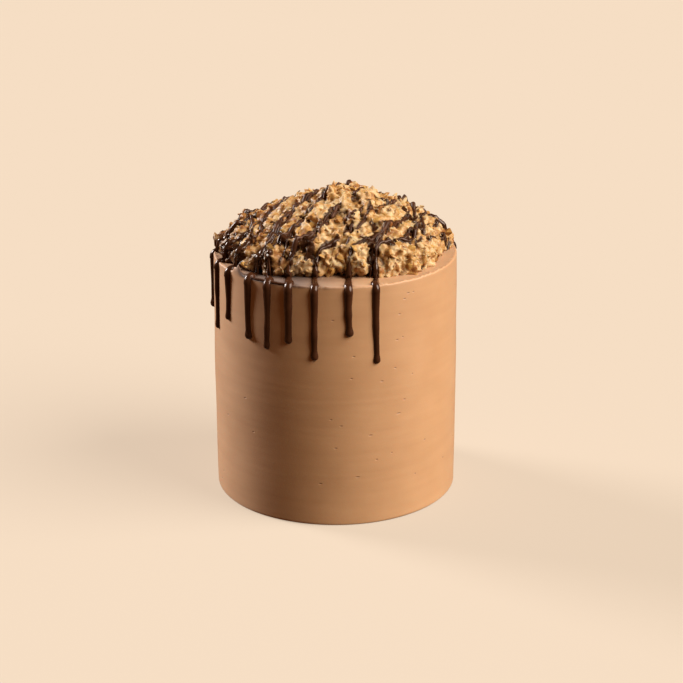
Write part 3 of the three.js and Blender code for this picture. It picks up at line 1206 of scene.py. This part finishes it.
def keep_largest_shell(shape):
    """Drops the closed shells inside the outer skin."""
    seen = set()
    shells = []
    for start in shape.verts:
        if start in seen:
            continue
        shell = []
        queue = [start]
        seen.add(start)
        while queue:
            vertex = queue.pop()
            shell.append(vertex)
            for edge in vertex.link_edges:
                other = edge.other_vert(vertex)
                if other not in seen:
                    seen.add(other)
                    queue.append(other)
        shells.append(shell)
    shells.sort(key=len)
    for shell in shells[:-1]:
        bmesh.ops.delete(shape, geom=shell, context="VERTS")


def roughen(mesh):
    """Gives the custard its fine crags and flattens it where it sits on the cake."""
    points = read_vectors(mesh)
    crags = [noise.fractal(Vector(p) * CRAGS_PER_METRE, 0.9, 2.0, 3) for p in points]
    points = points + read_vectors(mesh, "normal") * CRAG_HEIGHT * np.array(crags)[:, None]
    points[:, 2] = np.maximum(points[:, 2], WALL_TOP - HEAP_SINK)
    write_points(mesh, points)


def nearest_outline(points):
    """How far points lie from the heap's outline, and which way it faces there."""
    grid = dome_grid(0.0)
    faces = ring_faces(DOME_ROWS, DOME_COLUMNS)
    tree = BVHTree.FromPolygons(grid.reshape(-1, 3).tolist(), faces)
    nearest = [tree.find_nearest(Vector(p)) for p in points]
    return np.array([near[3] for near in nearest]), np.array([near[1] for near in nearest])


def painted_foot_shade(points):
    """Painted shade on the low part of the heap's left side, which faces away from the key light.
    """
    low = 1 - smoothstep(*FOOT_SHADE_RISE, points[:, 2] - WALL_TOP)
    return FOOT_SHADE * low * (1 - smoothstep(*FOOT_SHADE_SIDE, points[:, 0]))


def mark_core(mesh):
    """Notes how deep each point lies under the outline as painted shade in the hollows, joined with
    the painted shade on the low left, and where pieces may lie.
    """
    points = read_vectors(mesh)
    depth, outward = nearest_outline(points)
    facing = (read_vectors(mesh, "normal") * outward).sum(axis=1)
    on_outline = (facing > PIECES_FACE) & (depth < PIECES_DEEPEST)
    above_foot = points[:, 2] - WALL_TOP > PIECES_LOWEST
    inside_rim = np.hypot(points[:, 0], points[:, 1]) < PIECES_REACH
    run_in = ChocolateMap(NEAR_STRAND).cover_at(points) * smoothstep(*RUN_IN, depth)
    # Painted shade: darker the deeper a point lies in a hollow, joined with the painted shade on
    # the low left.
    hollow_shade_painted = HOLLOW_SHADE * smoothstep(*HOLLOW, depth)
    store_values(mesh, "depth", np.maximum(hollow_shade_painted, painted_foot_shade(points)))
    store_values(mesh, "shows", on_outline & above_foot & inside_rim)
    store_values(mesh, "chocolate", np.maximum(ChocolateMap().cover_at(points), run_in))


def merge_underside(mesh):
    """Joins the flat faces on which the heap sits."""
    low = WALL_TOP - HEAP_SINK + FLAT_MARGIN
    with shape_of(mesh) as shape:
        under = [face for face in shape.faces if all(v.co.z < low for v in face.verts)]
        edges = once(edge for face in under for edge in face.edges)
        corners = once(corner for face in under for corner in face.verts)
        bmesh.ops.dissolve_limit(shape, angle_limit=FLAT_ANGLE, verts=corners, edges=edges)


def topping_core_mesh():
    """The heap's core: clumps with flakes pressed in, joined to one uneven skin."""
    draw = np.random.default_rng(bpy.context.scene.cake_topping.seed)
    pile = Pile()
    pile_clumps(pile, draw)
    pile_crumbs(pile, draw)
    pile_flakes(pile, draw)
    mesh = joined_skin(pile)
    store_values(mesh, "tone", pile.tones_at(read_vectors(mesh)))
    roughen(mesh)
    mark_core(mesh)
    merge_underside(mesh)
    return mesh


# Pieces on the heap

SHRED_LENGTH = 8.5 * MM
SHRED_STEPS = 6
SHRED_SIDES = 6
SHRED_KINDS = 9
SHRED_LAY = {
    "Tilt": math.radians(8),
    "Smallest": 0.5,
    "Largest": 0.82,
    "Lift": -0.4 * MM,
    "Smooth": True,
}
NUT_HALVES = Vector((4.2, 3.1, 2.3)) * MM
NUT_KINDS = 8
NUT_CORNERS = 15
NUT_LAY = {
    "Tilt": math.radians(50),
    "Smallest": 0.55,
    "Largest": 1.0,
    "Lift": -0.8 * MM,
    "Smooth": False,
}


def shred_mesh(draw):
    """A bent, twisted strip of coconut with round edges."""
    width = draw.uniform(1.9, 3.0) * MM
    thickness = draw.uniform(0.8, 1.2) * MM
    bend = draw.uniform(-1.1, 1.1)
    side_bend = draw.uniform(-0.7, 0.7)
    twist = draw.uniform(-0.9, 0.9)
    points = []
    for i in range(SHRED_STEPS + 1):
        t = i / SHRED_STEPS - 0.5
        taper = 1.0 - 0.65 * (2 * abs(t)) ** 3
        drop = -0.5 * SHRED_LENGTH * t * t
        centre = Vector((SHRED_LENGTH * t, side_bend * drop, bend * drop))
        turn = Matrix.Rotation(bend * t, 3, "Y") @ Matrix.Rotation(twist * t, 3, "X")
        for k in range(SHRED_SIDES):
            angle = TURN * k / SHRED_SIDES
            across = width * taper / 2 * math.cos(angle)
            up = thickness / 2 * math.sin(angle)
            points.append(centre + turn @ Vector((0, across, up)))
    end = SHRED_SIDES * SHRED_STEPS
    caps = tuple(reversed(range(SHRED_SIDES))), tuple(range(end, end + SHRED_SIDES))
    faces = [caps[0], *ring_faces(SHRED_STEPS + 1, SHRED_SIDES), caps[1]]
    return mesh_from_arrays("shred", points, faces)


def nut_mesh(draw):
    """A chopped piece of pecan with flat broken sides."""
    mesh = bpy.data.meshes.new("nut")
    with shape_of(mesh) as shape:
        for _ in range(NUT_CORNERS):
            corner = Vector([draw.gauss(0, 1) for _ in range(3)]).normalized()
            shape.verts.new(corner * NUT_HALVES * draw.uniform(0.85, 1.1))
        hull = bmesh.ops.convex_hull(shape, input=shape.verts[:])
        inside = [item for item in hull["geom_interior"] if isinstance(item, bmesh.types.BMVert)]
        bmesh.ops.delete(shape, geom=inside, context="VERTS")
        bmesh.ops.recalc_face_normals(shape, faces=shape.faces[:])
    return mesh


def variants_of(name, make, count, seed):
    """A collection of a few variants of one small piece."""
    draw = random.Random(seed)
    group = bpy.data.collections.new(name)
    bpy.context.scene.collection.children.link(group)
    for i in range(count):
        group.objects.link(bpy.data.objects.new(f"{name}_{i}", make(draw)))
    return group


def remove_variants(group):
    for variant in list(group.objects):
        mesh = variant.data
        bpy.data.objects.remove(variant)
        bpy.data.meshes.remove(mesh)
    bpy.data.collections.remove(group)


def scatter_on_core(name, group, values, material):
    """Scatters a group's variants over the custard as one piece."""
    host = put_in_scene(name + "_scatter", bpy.data.objects["topping_core"].data)
    fixed = {"Variants": group, "Last variant": len(group.objects) - 1, "Material": material}
    nodes_modifier(host, scatter_tree(name + "_scatter"), {**values, **fixed})
    mesh = bake_modifiers(host)
    remove_variants(group)
    store_values(mesh, "chocolate", ChocolateMap().cover_at(read_vectors(mesh)))
    add_topping_piece(name, mesh, material)


# Chocolate

LINE_STEP = 0.9 * MM
TURN_START = 16 * MM
TURN_END = 40 * MM
TURN_OUT = (0.45, 0.8)
SWAY = 1.5 * MM
FINE_SWAY = 0.6 * MM
SWAYS_PER_METRE = 55
SWELLS_PER_METRE = 150
STRAND_BREAK = (0.06, -0.28)
STRAND_FOOT = 1.5 * MM
STRAND_FULL = 0.95
END_FULL = 1.5
STRAND_UNEVENNESS = 1.1
LEAST_RUN = 4
BARE_TOP = (14 * MM, 46 * MM)
RICH_SIDE = 10 * MM
THREAD_ASIDE = 4.5
THREAD_MARGIN = 4 * MM
POOL_SPOTS = 7
POOL_SPREAD = (0.0, 1.2)
SPOT_SIZES = (0.35, 0.75)
NEAR_STRAND = 4.0
DRIP_SIDES = 16
DRIP_WIDTHS = (0.94, 1.06)
DRIP_UNEVENNESS = (0.86, 1.0)
DRIP_SWAY = (-0.6, 0.6)
DRIP_STEP = 0.8 * MM
DRIP_MOST_INWARD = 27 * MM
DRIP_COVER = 8 * MM
DRIP_CLIMB = 7 * MM
DRIP_SINK = 0.42
RIM_BEND = 3.4 * MM
RIM_BEND_STEPS = 6
NECK = (0.68, 0.86)
BULB = (0.1, 0.28)
BULB_START = 7 * MM
BULB_FULL = 3 * MM
SWELL = (0.0, 0.18)
SWELL_PLACES = (0.35, 0.7)
SWELL_LENGTH = 0.1
NECK_START = (0.05, 0.6)
WALL_SINK = 0.15
TRICKLE = (-46, -21)
TRICKLE_STEP = 0.5
TRICKLE_RADIUS = 0.75 * MM
STRAND_SIDES = 10
STRAND_SINK = 0.3
SAG = 1500.0
DEEP_GAP = 4 * MM
FOOT_LOSS = 4 * MM


def pass_point(offset, along):
    """A place on the line of a pass, so far along it from where it is nearest the axis."""
    angle = bpy.context.scene.cake_chocolate.direction
    x = offset * math.sin(angle) + along * math.cos(angle)
    y = -offset * math.cos(angle) + along * math.sin(angle)
    return x, y


def pass_half(offset):
    """Half the length of a pass from rim to rim."""
    return math.sqrt(rim_radius() ** 2 - offset**2)


def pass_place(offset, along, aside=0.0):
    """A place on a pass that turns near the rim to run straight out over the edge."""
    half = pass_half(offset)
    inward = half - abs(along)
    end = Vector(pass_point(offset, math.copysign(half, along)))
    out = end.normalized()
    ahead = Vector((0.0, math.copysign(1.0, end.y)))
    flow = ahead.lerp(out, smoothstep(*TURN_OUT, abs(out.x))).normalized()
    turn = smoothstep(TURN_START, TURN_END, inward)
    return (end - flow * inward).lerp(Vector(pass_point(offset + aside, along)), turn)


def strand_lines(offset, low, high, width, draw, runs_out):
    """Plan points and half widths of a strand's runs, between two shares of its half length."""
    half = pass_half(offset)
    spot = Vector((draw.uniform(0, 99), draw.uniform(0, 99), 0.0))
    runs = [([], [])]
    for along in np.arange(low * half, high * half, LINE_STEP):
        sway = spot + Vector((0.0, along * SWAYS_PER_METRE, 0.0))
        aside = SWAY * noise.noise(sway) + FINE_SWAY * noise.noise(sway * 3.1)
        if runs_out:
            aside *= smoothstep(TURN_START, TURN_END, half - abs(along))
            x, y = pass_place(offset, along, aside)
        else:
            x, y = pass_point(offset + aside, along)
        thick = noise.noise(spot + Vector((along * SWELLS_PER_METRE, 0.0, 7.0)))
        at_end = runs_out and half - abs(along) < TURN_START
        full = END_FULL if at_end else STRAND_FULL
        on_heap = math.hypot(x, y) < heap_reach(azimuth_of(x, y)) - STRAND_FOOT
        least = lerp(*STRAND_BREAK, smoothstep(*BARE_TOP, math.hypot(x - RICH_SIDE, y)))
        if not on_heap or (thick < least and not at_end):
            runs.append(([], []))
            continue
        runs[-1][0].append((x, y))
        runs[-1][1].append(width / 2 * (full + STRAND_UNEVENNESS * thick))
    return [run for run in runs if len(run[0]) > LEAST_RUN]


def drizzle_lines():
    """Every strand over the heap: the main strands and their thin threads."""
    look = bpy.context.scene.cake_chocolate
    draw = random.Random(look.seed + 1)
    limit = rim_radius() - THREAD_MARGIN
    lines = []
    for offset, _, _, width in PASSES:
        lines += strand_lines(offset * MM, -1.0, 1.0, width * MM, draw, True)
        for _ in range(look.thread_count):
            beside = (offset + draw.uniform(-THREAD_ASIDE, THREAD_ASIDE)) * MM
            beside = max(-limit, min(limit, beside))
            low = draw.uniform(-1.0, -0.1)
            high = draw.uniform(0.1, 1.0)
            thin = look.thread_width * draw.uniform(0.75, 1.35)
            lines += strand_lines(beside, low, high, thin, draw, False)
    return lines


def pool_stamps():
    """Plan places and radii of the round spots that make up each pool."""
    draw = random.Random(bpy.context.scene.cake_chocolate.seed + 2)
    for x, y, radius in POOLS:
        for _ in range(POOL_SPOTS):
            away = draw.uniform(*POOL_SPREAD) * radius
            across, up = on_circle(away, draw.uniform(0, TURN))
            spot = radius * draw.uniform(*SPOT_SIZES)
            yield (x + across) * MM, (y + up) * MM, spot * MM


class ChocolateMap:
    """Where chocolate lies on the heap, seen from above, from 0 to 1."""

    STEP = 0.4 * MM
    HALF = 80 * MM
    SOFT_EDGE = 0.4 * MM

    def __init__(self, spread=1.2):
        cells = int(2 * self.HALF / self.STEP) + 1
        self.cover = np.zeros((cells, cells))
        for places, halves in drizzle_lines():
            for (x, y), half in zip(places, halves):
                self.stamp(x, y, half * spread)
        for x, y, radius in pool_stamps():
            self.stamp(x, y, radius)

    def cell(self, value):
        cells = np.rint((value + self.HALF) / self.STEP).astype(int)
        return np.clip(cells, 0, len(self.cover) - 1)

    def stamp(self, x, y, radius):
        reach = radius + self.SOFT_EDGE
        low_x, high_x = self.cell(np.array((x - reach, x + reach)))
        low_y, high_y = self.cell(np.array((y - reach, y + reach)))
        across = np.arange(low_x, high_x + 1) * self.STEP - self.HALF - x
        up = np.arange(low_y, high_y + 1) * self.STEP - self.HALF - y
        away = np.hypot(across[:, None], up[None, :])
        cover = np.clip((reach - away) / self.SOFT_EDGE, 0.0, 1.0)
        part = self.cover[low_x : high_x + 1, low_y : high_y + 1]
        np.maximum(part, cover, out=part)

    def cover_at(self, points):
        return self.cover[self.cell(points[:, 0]), self.cell(points[:, 1])]


class ToppingSurface:
    """Finds the height of the heap, or of the cake's top, under a place."""

    NAMES = ("topping_core", "pecan_pieces")
    CLEARANCE = 0.1

    def __init__(self):
        graph = bpy.context.evaluated_depsgraph_get()
        self.trees = [BVHTree.FromObject(bpy.data.objects[n], graph) for n in self.NAMES]

    def height(self, x, y):
        above = Vector((x, y, WALL_TOP + self.CLEARANCE))
        hits = [tree.ray_cast(above, DOWN)[0] for tree in self.trees]
        return max([WALL_TOP] + [hit.z for hit in hits if hit is not None])


def rest_on(heights, places):
    """Lets a line lie on a bumpy profile: it bridges hollows with a limited curve."""
    along = path_lengths(places)
    apart = along[:, None] - along[None, :]
    return np.max(np.asarray(heights)[None, :] - SAG * apart**2, axis=1)


def sweep_paths(name, paths, sides, material):
    """Sweeps chocolate along paths, each a list of points and a list of radii."""
    data = bpy.data.curves.new(name, "CURVE")
    data.dimensions = "3D"
    for points, radii in paths:
        spline = data.splines.new("POLY")
        spline.points.add(len(points) - 1)
        for target, point, radius in zip(spline.points, points, radii):
            target.co = (*point, 1.0)
            target.radius = radius
    host = put_in_scene(name + "_paths", data)
    nodes_modifier(host, sweep_tree(), {"Sides": sides, "Material": material})
    mesh = bake_modifiers(host)
    bpy.data.curves.remove(data)
    return mesh


def round_ends(radii, points):
    """Closes both ends of a swept path with round ends."""
    along = path_lengths(points)
    shaped = []
    for at, radius in zip(along, radii):
        edge = min(1.0, min(at, along[-1] - at) / max(radius, 1e-6))
        shaped.append(radius * math.sqrt(max(0.01, 1 - (1 - edge) ** 2)))
    return shaped


def drip_on_top(offset, side, half_width, surface):
    """The part of a drip that comes out from under the heap's foot and crosses the top."""
    half = pass_half(offset)
    points = []
    for inward in np.arange(RIM_BEND + 0.4 * MM, DRIP_MOST_INWARD, LINE_STEP):
        x, y = pass_place(offset, side * (half - inward))
        height = surface.height(x, y)
        points.append((x, y, height))
        under = math.hypot(x, y) < heap_reach(azimuth_of(x, y)) - DRIP_COVER
        if under or height > WALL_TOP + DRIP_CLIMB:
            break
    points.reverse()
    heights = rest_on([p[2] for p in points], points)
    sink = DRIP_SINK * half_width
    return [Vector((x, y, z - sink)) for (x, y, _), z in zip(points, heights)]


def drip_over_rim(azimuth):
    """The part of a drip that bends over the rim."""
    points = []
    for turn in np.linspace(0.15, math.pi / 2, RIM_BEND_STEPS):
        x, y = on_circle(rim_radius() - RIM_BEND * (1 - math.sin(turn)), azimuth)
        points.append(Vector((x, y, WALL_TOP - RIM_BEND * (1 - math.cos(turn)))))
    return points


def drip_on_wall(azimuth, length, half_width, draw):
    """The part of a drip on the wall: it narrows to a neck and ends in a drop."""
    sway = draw.uniform(*DRIP_SWAY) * MM / rim_radius()
    phase = draw.uniform(0, 6)
    swell_at = draw.uniform(*SWELL_PLACES)
    thinnest = draw.uniform(*NECK)
    drop = draw.uniform(*BULB)
    bulge = draw.uniform(*SWELL)
    points = []
    radii = []
    for fallen in np.arange(RIM_BEND + DRIP_STEP, length, DRIP_STEP):
        t = fallen / length
        neck = lerp(1.0, thinnest, smoothstep(*NECK_START, t))
        bulb = drop * smoothstep(length - BULB_START, length - BULB_FULL, fallen)
        swell = bulge * bell(t - swell_at, SWELL_LENGTH)
        z = WALL_TOP - fallen
        aside = sway * math.sin(phase + 5 * t) * t
        x, y = on_circle(wall_radius(z) - WALL_SINK * half_width, azimuth + aside)
        points.append(Vector((x, y, z)))
        radii.append(half_width * (neck + bulb + swell))
    return points, radii


def drip_path(offset, side, length, width, surface, draw):
    """A whole drip: off the heap, over the rim and down the wall to a round end."""
    half_width = width / 2
    azimuth = azimuth_of(*pass_point(offset, side * pass_half(offset)))
    top = drip_on_top(offset, side, half_width, surface)
    bend = drip_over_rim(azimuth)
    wall, wall_radii = drip_on_wall(azimuth, length, half_width, draw)
    widening = np.linspace(0.8, 1.0, len(top))
    top_radii = [half_width * share * draw.uniform(*DRIP_UNEVENNESS) for share in widening]
    radii = top_radii + [half_width] * len(bend) + wall_radii
    points = top + bend + wall
    return points, round_ends(radii, points)


def rim_trickle():
    """A thin trickle of chocolate along the rim between two drips."""
    points = []
    radii = []
    for degrees in np.arange(*TRICKLE, TRICKLE_STEP):
        wobble = noise.noise(Vector((degrees * 0.35, 4.0, 0.0)))
        x, y = on_circle(rim_radius() - (0.9 + 0.5 * wobble) * MM, math.radians(degrees))
        points.append(Vector((x, y, WALL_TOP + 0.1 * MM)))
        radii.append(TRICKLE_RADIUS * (1 + 0.4 * wobble))
    return points, round_ends(radii, points)


def all_drips(surface):
    """The drips at both ends of every pass, and the trickle along the rim."""
    look = bpy.context.scene.cake_chocolate
    draw = random.Random(look.seed)
    paths = [rim_trickle()]
    for offset, front, back, _ in PASSES:
        for side, length in ((-1, front), (1, back)):
            width = look.drip_width * draw.uniform(*DRIP_WIDTHS)
            paths.append(drip_path(offset * MM, side, length * MM, width, surface, draw))
    return paths


def draped_strands(surface):
    """The strands of the drizzle, laid on the heap."""
    paths = []
    for places, halves in drizzle_lines():
        heights = [surface.height(x, y) for x, y in places]
        for first, last in runs_on_clumps(places, heights):
            part = places[first:last]
            rested = rest_on(heights[first:last], part)
            thick = halves[first:last]
            points = [Vector((*p, z - STRAND_SINK * h)) for p, z, h in zip(part, rested, thick)]
            paths.append((points, round_ends(thick, points)))
    return paths


def runs_on_clumps(places, heights):
    """First and last index of each stretch of a strand that doesn't cross a deep gap."""
    start = None
    for i, ((x, y), z) in enumerate(zip(places, heights)):
        deep = WALL_TOP + dome_height(x, y, FOOT_LOSS) - z > DEEP_GAP
        if start is not None and deep:
            if i - start > LEAST_RUN:
                yield start, i
            start = None
        elif start is None and not deep:
            start = i
    if start is not None and len(places) - start > LEAST_RUN:
        yield start, len(places)


# Studio

FLOOR_HALF = 14.0
FLOOR_DROP = 0.2 * MM
KEY_LIGHT = {"azimuth": 70, "elevation": 36, "angle": 48, "colour": (1.0, 0.985, 0.92)}
EDGE_LIGHT = {"azimuth": -118.5, "elevation": 24, "angle": 21, "colour": (1.0, 0.99, 0.98)}
LIGHT_DISTANCE = 3.0
CAMERA_PLACE = (3.7 * MM, -1060.7 * MM, 478.2 * MM)
CAMERA_PITCH = math.radians(20.13)
CAMERA_ROLL = math.radians(-0.21)
CAMERA_LENS = 96.75
CAMERA_SENSOR = 36.0


def make_floor():
    corners = [(-1, -1), (1, -1), (1, 1), (-1, 1)]
    points = [(FLOOR_HALF * x, FLOOR_HALF * y, -FLOOR_DROP) for x, y in corners]
    mesh = mesh_from_arrays("floor", points, [(0, 1, 2, 3)], smooth=False)
    mesh.materials.append(floor_material())
    floor = put_in_scene("floor", mesh)
    floor.visible_diffuse = False
    floor.visible_glossy = False


def add_sun(name, strength, azimuth, elevation, angle, colour):
    """Adds a light that shines on the cake from an azimuth and elevation in degrees."""
    light = bpy.data.lights.new(name, "SUN")
    light.energy = strength
    light.angle = math.radians(angle)
    light.color = colour
    lamp = put_in_scene(name, light)
    x, y = on_circle(math.cos(math.radians(elevation)), math.radians(azimuth))
    away = Vector((x, y, math.sin(math.radians(elevation))))
    lamp.location = away * LIGHT_DISTANCE
    lamp.rotation_euler = away.to_track_quat("Z", "Y").to_euler()


def make_lights(scene):
    look = scene.cake_studio
    add_sun("key_light", look.key_strength, **KEY_LIGHT)
    add_sun("edge_light", look.edge_strength, **EDGE_LIGHT)
    world = bpy.data.worlds.new("Studio")
    world.use_nodes = True
    fill = {"Color": (*look.fill_colour, 1.0), "Strength": look.fill_strength}
    feed(world.node_tree, world.node_tree.nodes["Background"], fill)
    scene.world = world


def make_camera(scene):
    data = bpy.data.cameras.new("camera")
    data.lens = CAMERA_LENS
    data.sensor_width = CAMERA_SENSOR
    data.clip_end = 4 * FLOOR_HALF
    camera = put_in_scene("camera", data)
    pitch = Matrix.Rotation(math.pi / 2 - CAMERA_PITCH, 4, "X")
    roll = Matrix.Rotation(CAMERA_ROLL, 4, "Z")
    camera.matrix_world = Matrix.Translation(CAMERA_PLACE) @ pitch @ roll
    scene.camera = camera


# Operators


class CAKE_OT_buttercream(bpy.types.Operator):
    """Make the smooth buttercream wall and top"""

    bl_idname = "cake.buttercream"
    bl_label = "Buttercream"

    def execute(self, context):
        add_cake_piece("buttercream", buttercream_mesh(), buttercream_material())
        return {"FINISHED"}


class CAKE_OT_topping_core(bpy.types.Operator):
    """Make the lumpy custard that the heap is built on"""

    bl_idname = "cake.topping_core"
    bl_label = "Custard"

    def execute(self, context):
        add_topping_piece("topping_core", topping_core_mesh(), custard_material())
        return {"FINISHED"}


class CAKE_OT_pecan_pieces(bpy.types.Operator):
    """Scatter chopped pecans over the custard"""

    bl_idname = "cake.pecan_pieces"
    bl_label = "Pecan pieces"

    def execute(self, context):
        size = context.scene.cake_topping
        values = {**NUT_LAY, "Spacing": size.nut_spacing, "Seed": size.seed}
        group = variants_of("pecan", nut_mesh, NUT_KINDS, size.seed)
        scatter_on_core("pecan_pieces", group, values, pecan_material())
        return {"FINISHED"}


class CAKE_OT_coconut_shreds(bpy.types.Operator):
    """Scatter coconut shreds over the custard"""

    bl_idname = "cake.coconut_shreds"
    bl_label = "Coconut shreds"

    def execute(self, context):
        size = context.scene.cake_topping
        values = {**SHRED_LAY, "Spacing": size.shred_spacing, "Seed": size.seed + 20}
        group = variants_of("shred", shred_mesh, SHRED_KINDS, size.seed + 1)
        scatter_on_core("coconut_shreds", group, values, coconut_material())
        return {"FINISHED"}


class CAKE_OT_chocolate_drips(bpy.types.Operator):
    """Run the chocolate drips over the rim and down the wall"""

    bl_idname = "cake.chocolate_drips"
    bl_label = "Chocolate drips"

    def execute(self, context):
        material = chocolate_material()
        paths = all_drips(ToppingSurface())
        mesh = sweep_paths("chocolate_drips", paths, DRIP_SIDES, material)
        add_cake_piece("chocolate_drips", mesh, material)
        return {"FINISHED"}


class CAKE_OT_chocolate_drizzle(bpy.types.Operator):
    """Lay the chocolate strands over the heap"""

    bl_idname = "cake.chocolate_drizzle"
    bl_label = "Chocolate drizzle"

    def execute(self, context):
        material = drizzle_material()
        paths = draped_strands(ToppingSurface())
        mesh = sweep_paths("chocolate_drizzle", paths, STRAND_SIDES, material)
        add_topping_piece("chocolate_drizzle", mesh, material)
        return {"FINISHED"}


class CAKE_OT_studio(bpy.types.Operator):
    """Set the pale floor, the lights and the camera"""

    bl_idname = "cake.studio"
    bl_label = "Studio"

    def execute(self, context):
        make_floor()
        make_lights(context.scene)
        make_camera(context.scene)
        context.scene.view_settings.view_transform = "Standard"
        return {"FINISHED"}


# Add-on


class CAKE_PT_panel(bpy.types.Panel):
    """The cake's pieces and settings in the sidebar"""

    bl_idname = "CAKE_PT_panel"
    bl_label = "German chocolate cake"
    bl_space_type = "VIEW_3D"
    bl_region_type = "UI"
    bl_category = "Cake"

    def draw(self, context):
        for operator in OPERATORS:
            self.layout.operator(operator.bl_idname)
        for name, group in SETTINGS.items():
            box = self.layout.box()
            box.label(text=group.__doc__)
            for prop in group.__annotations__:
                box.prop(getattr(context.scene, name), prop)


SETTINGS = {
    "cake_buttercream": ButtercreamSettings,
    "cake_topping": ToppingSettings,
    "cake_chocolate": ChocolateSettings,
    "cake_studio": StudioSettings,
}
OPERATORS = (
    CAKE_OT_buttercream,
    CAKE_OT_topping_core,
    CAKE_OT_pecan_pieces,
    CAKE_OT_coconut_shreds,
    CAKE_OT_chocolate_drips,
    CAKE_OT_chocolate_drizzle,
    CAKE_OT_studio,
)


def register():
    for cls in (*SETTINGS.values(), *OPERATORS, CAKE_PT_panel):
        bpy.utils.register_class(cls)
    for name, group in SETTINGS.items():
        setattr(bpy.types.Scene, name, PointerProperty(type=group))


def unregister():
    for name in SETTINGS:
        delattr(bpy.types.Scene, name)
    for cls in (CAKE_PT_panel, *reversed(OPERATORS), *SETTINGS.values()):
        bpy.utils.unregister_class(cls)


def main():
    register()
    bpy.ops.cake.buttercream()
    bpy.ops.cake.topping_core()
    bpy.ops.cake.pecan_pieces()
    bpy.ops.cake.coconut_shreds()
    bpy.ops.cake.chocolate_drips()
    bpy.ops.cake.chocolate_drizzle()
    bpy.ops.cake.studio()


if __name__ == "__main__":
    main()
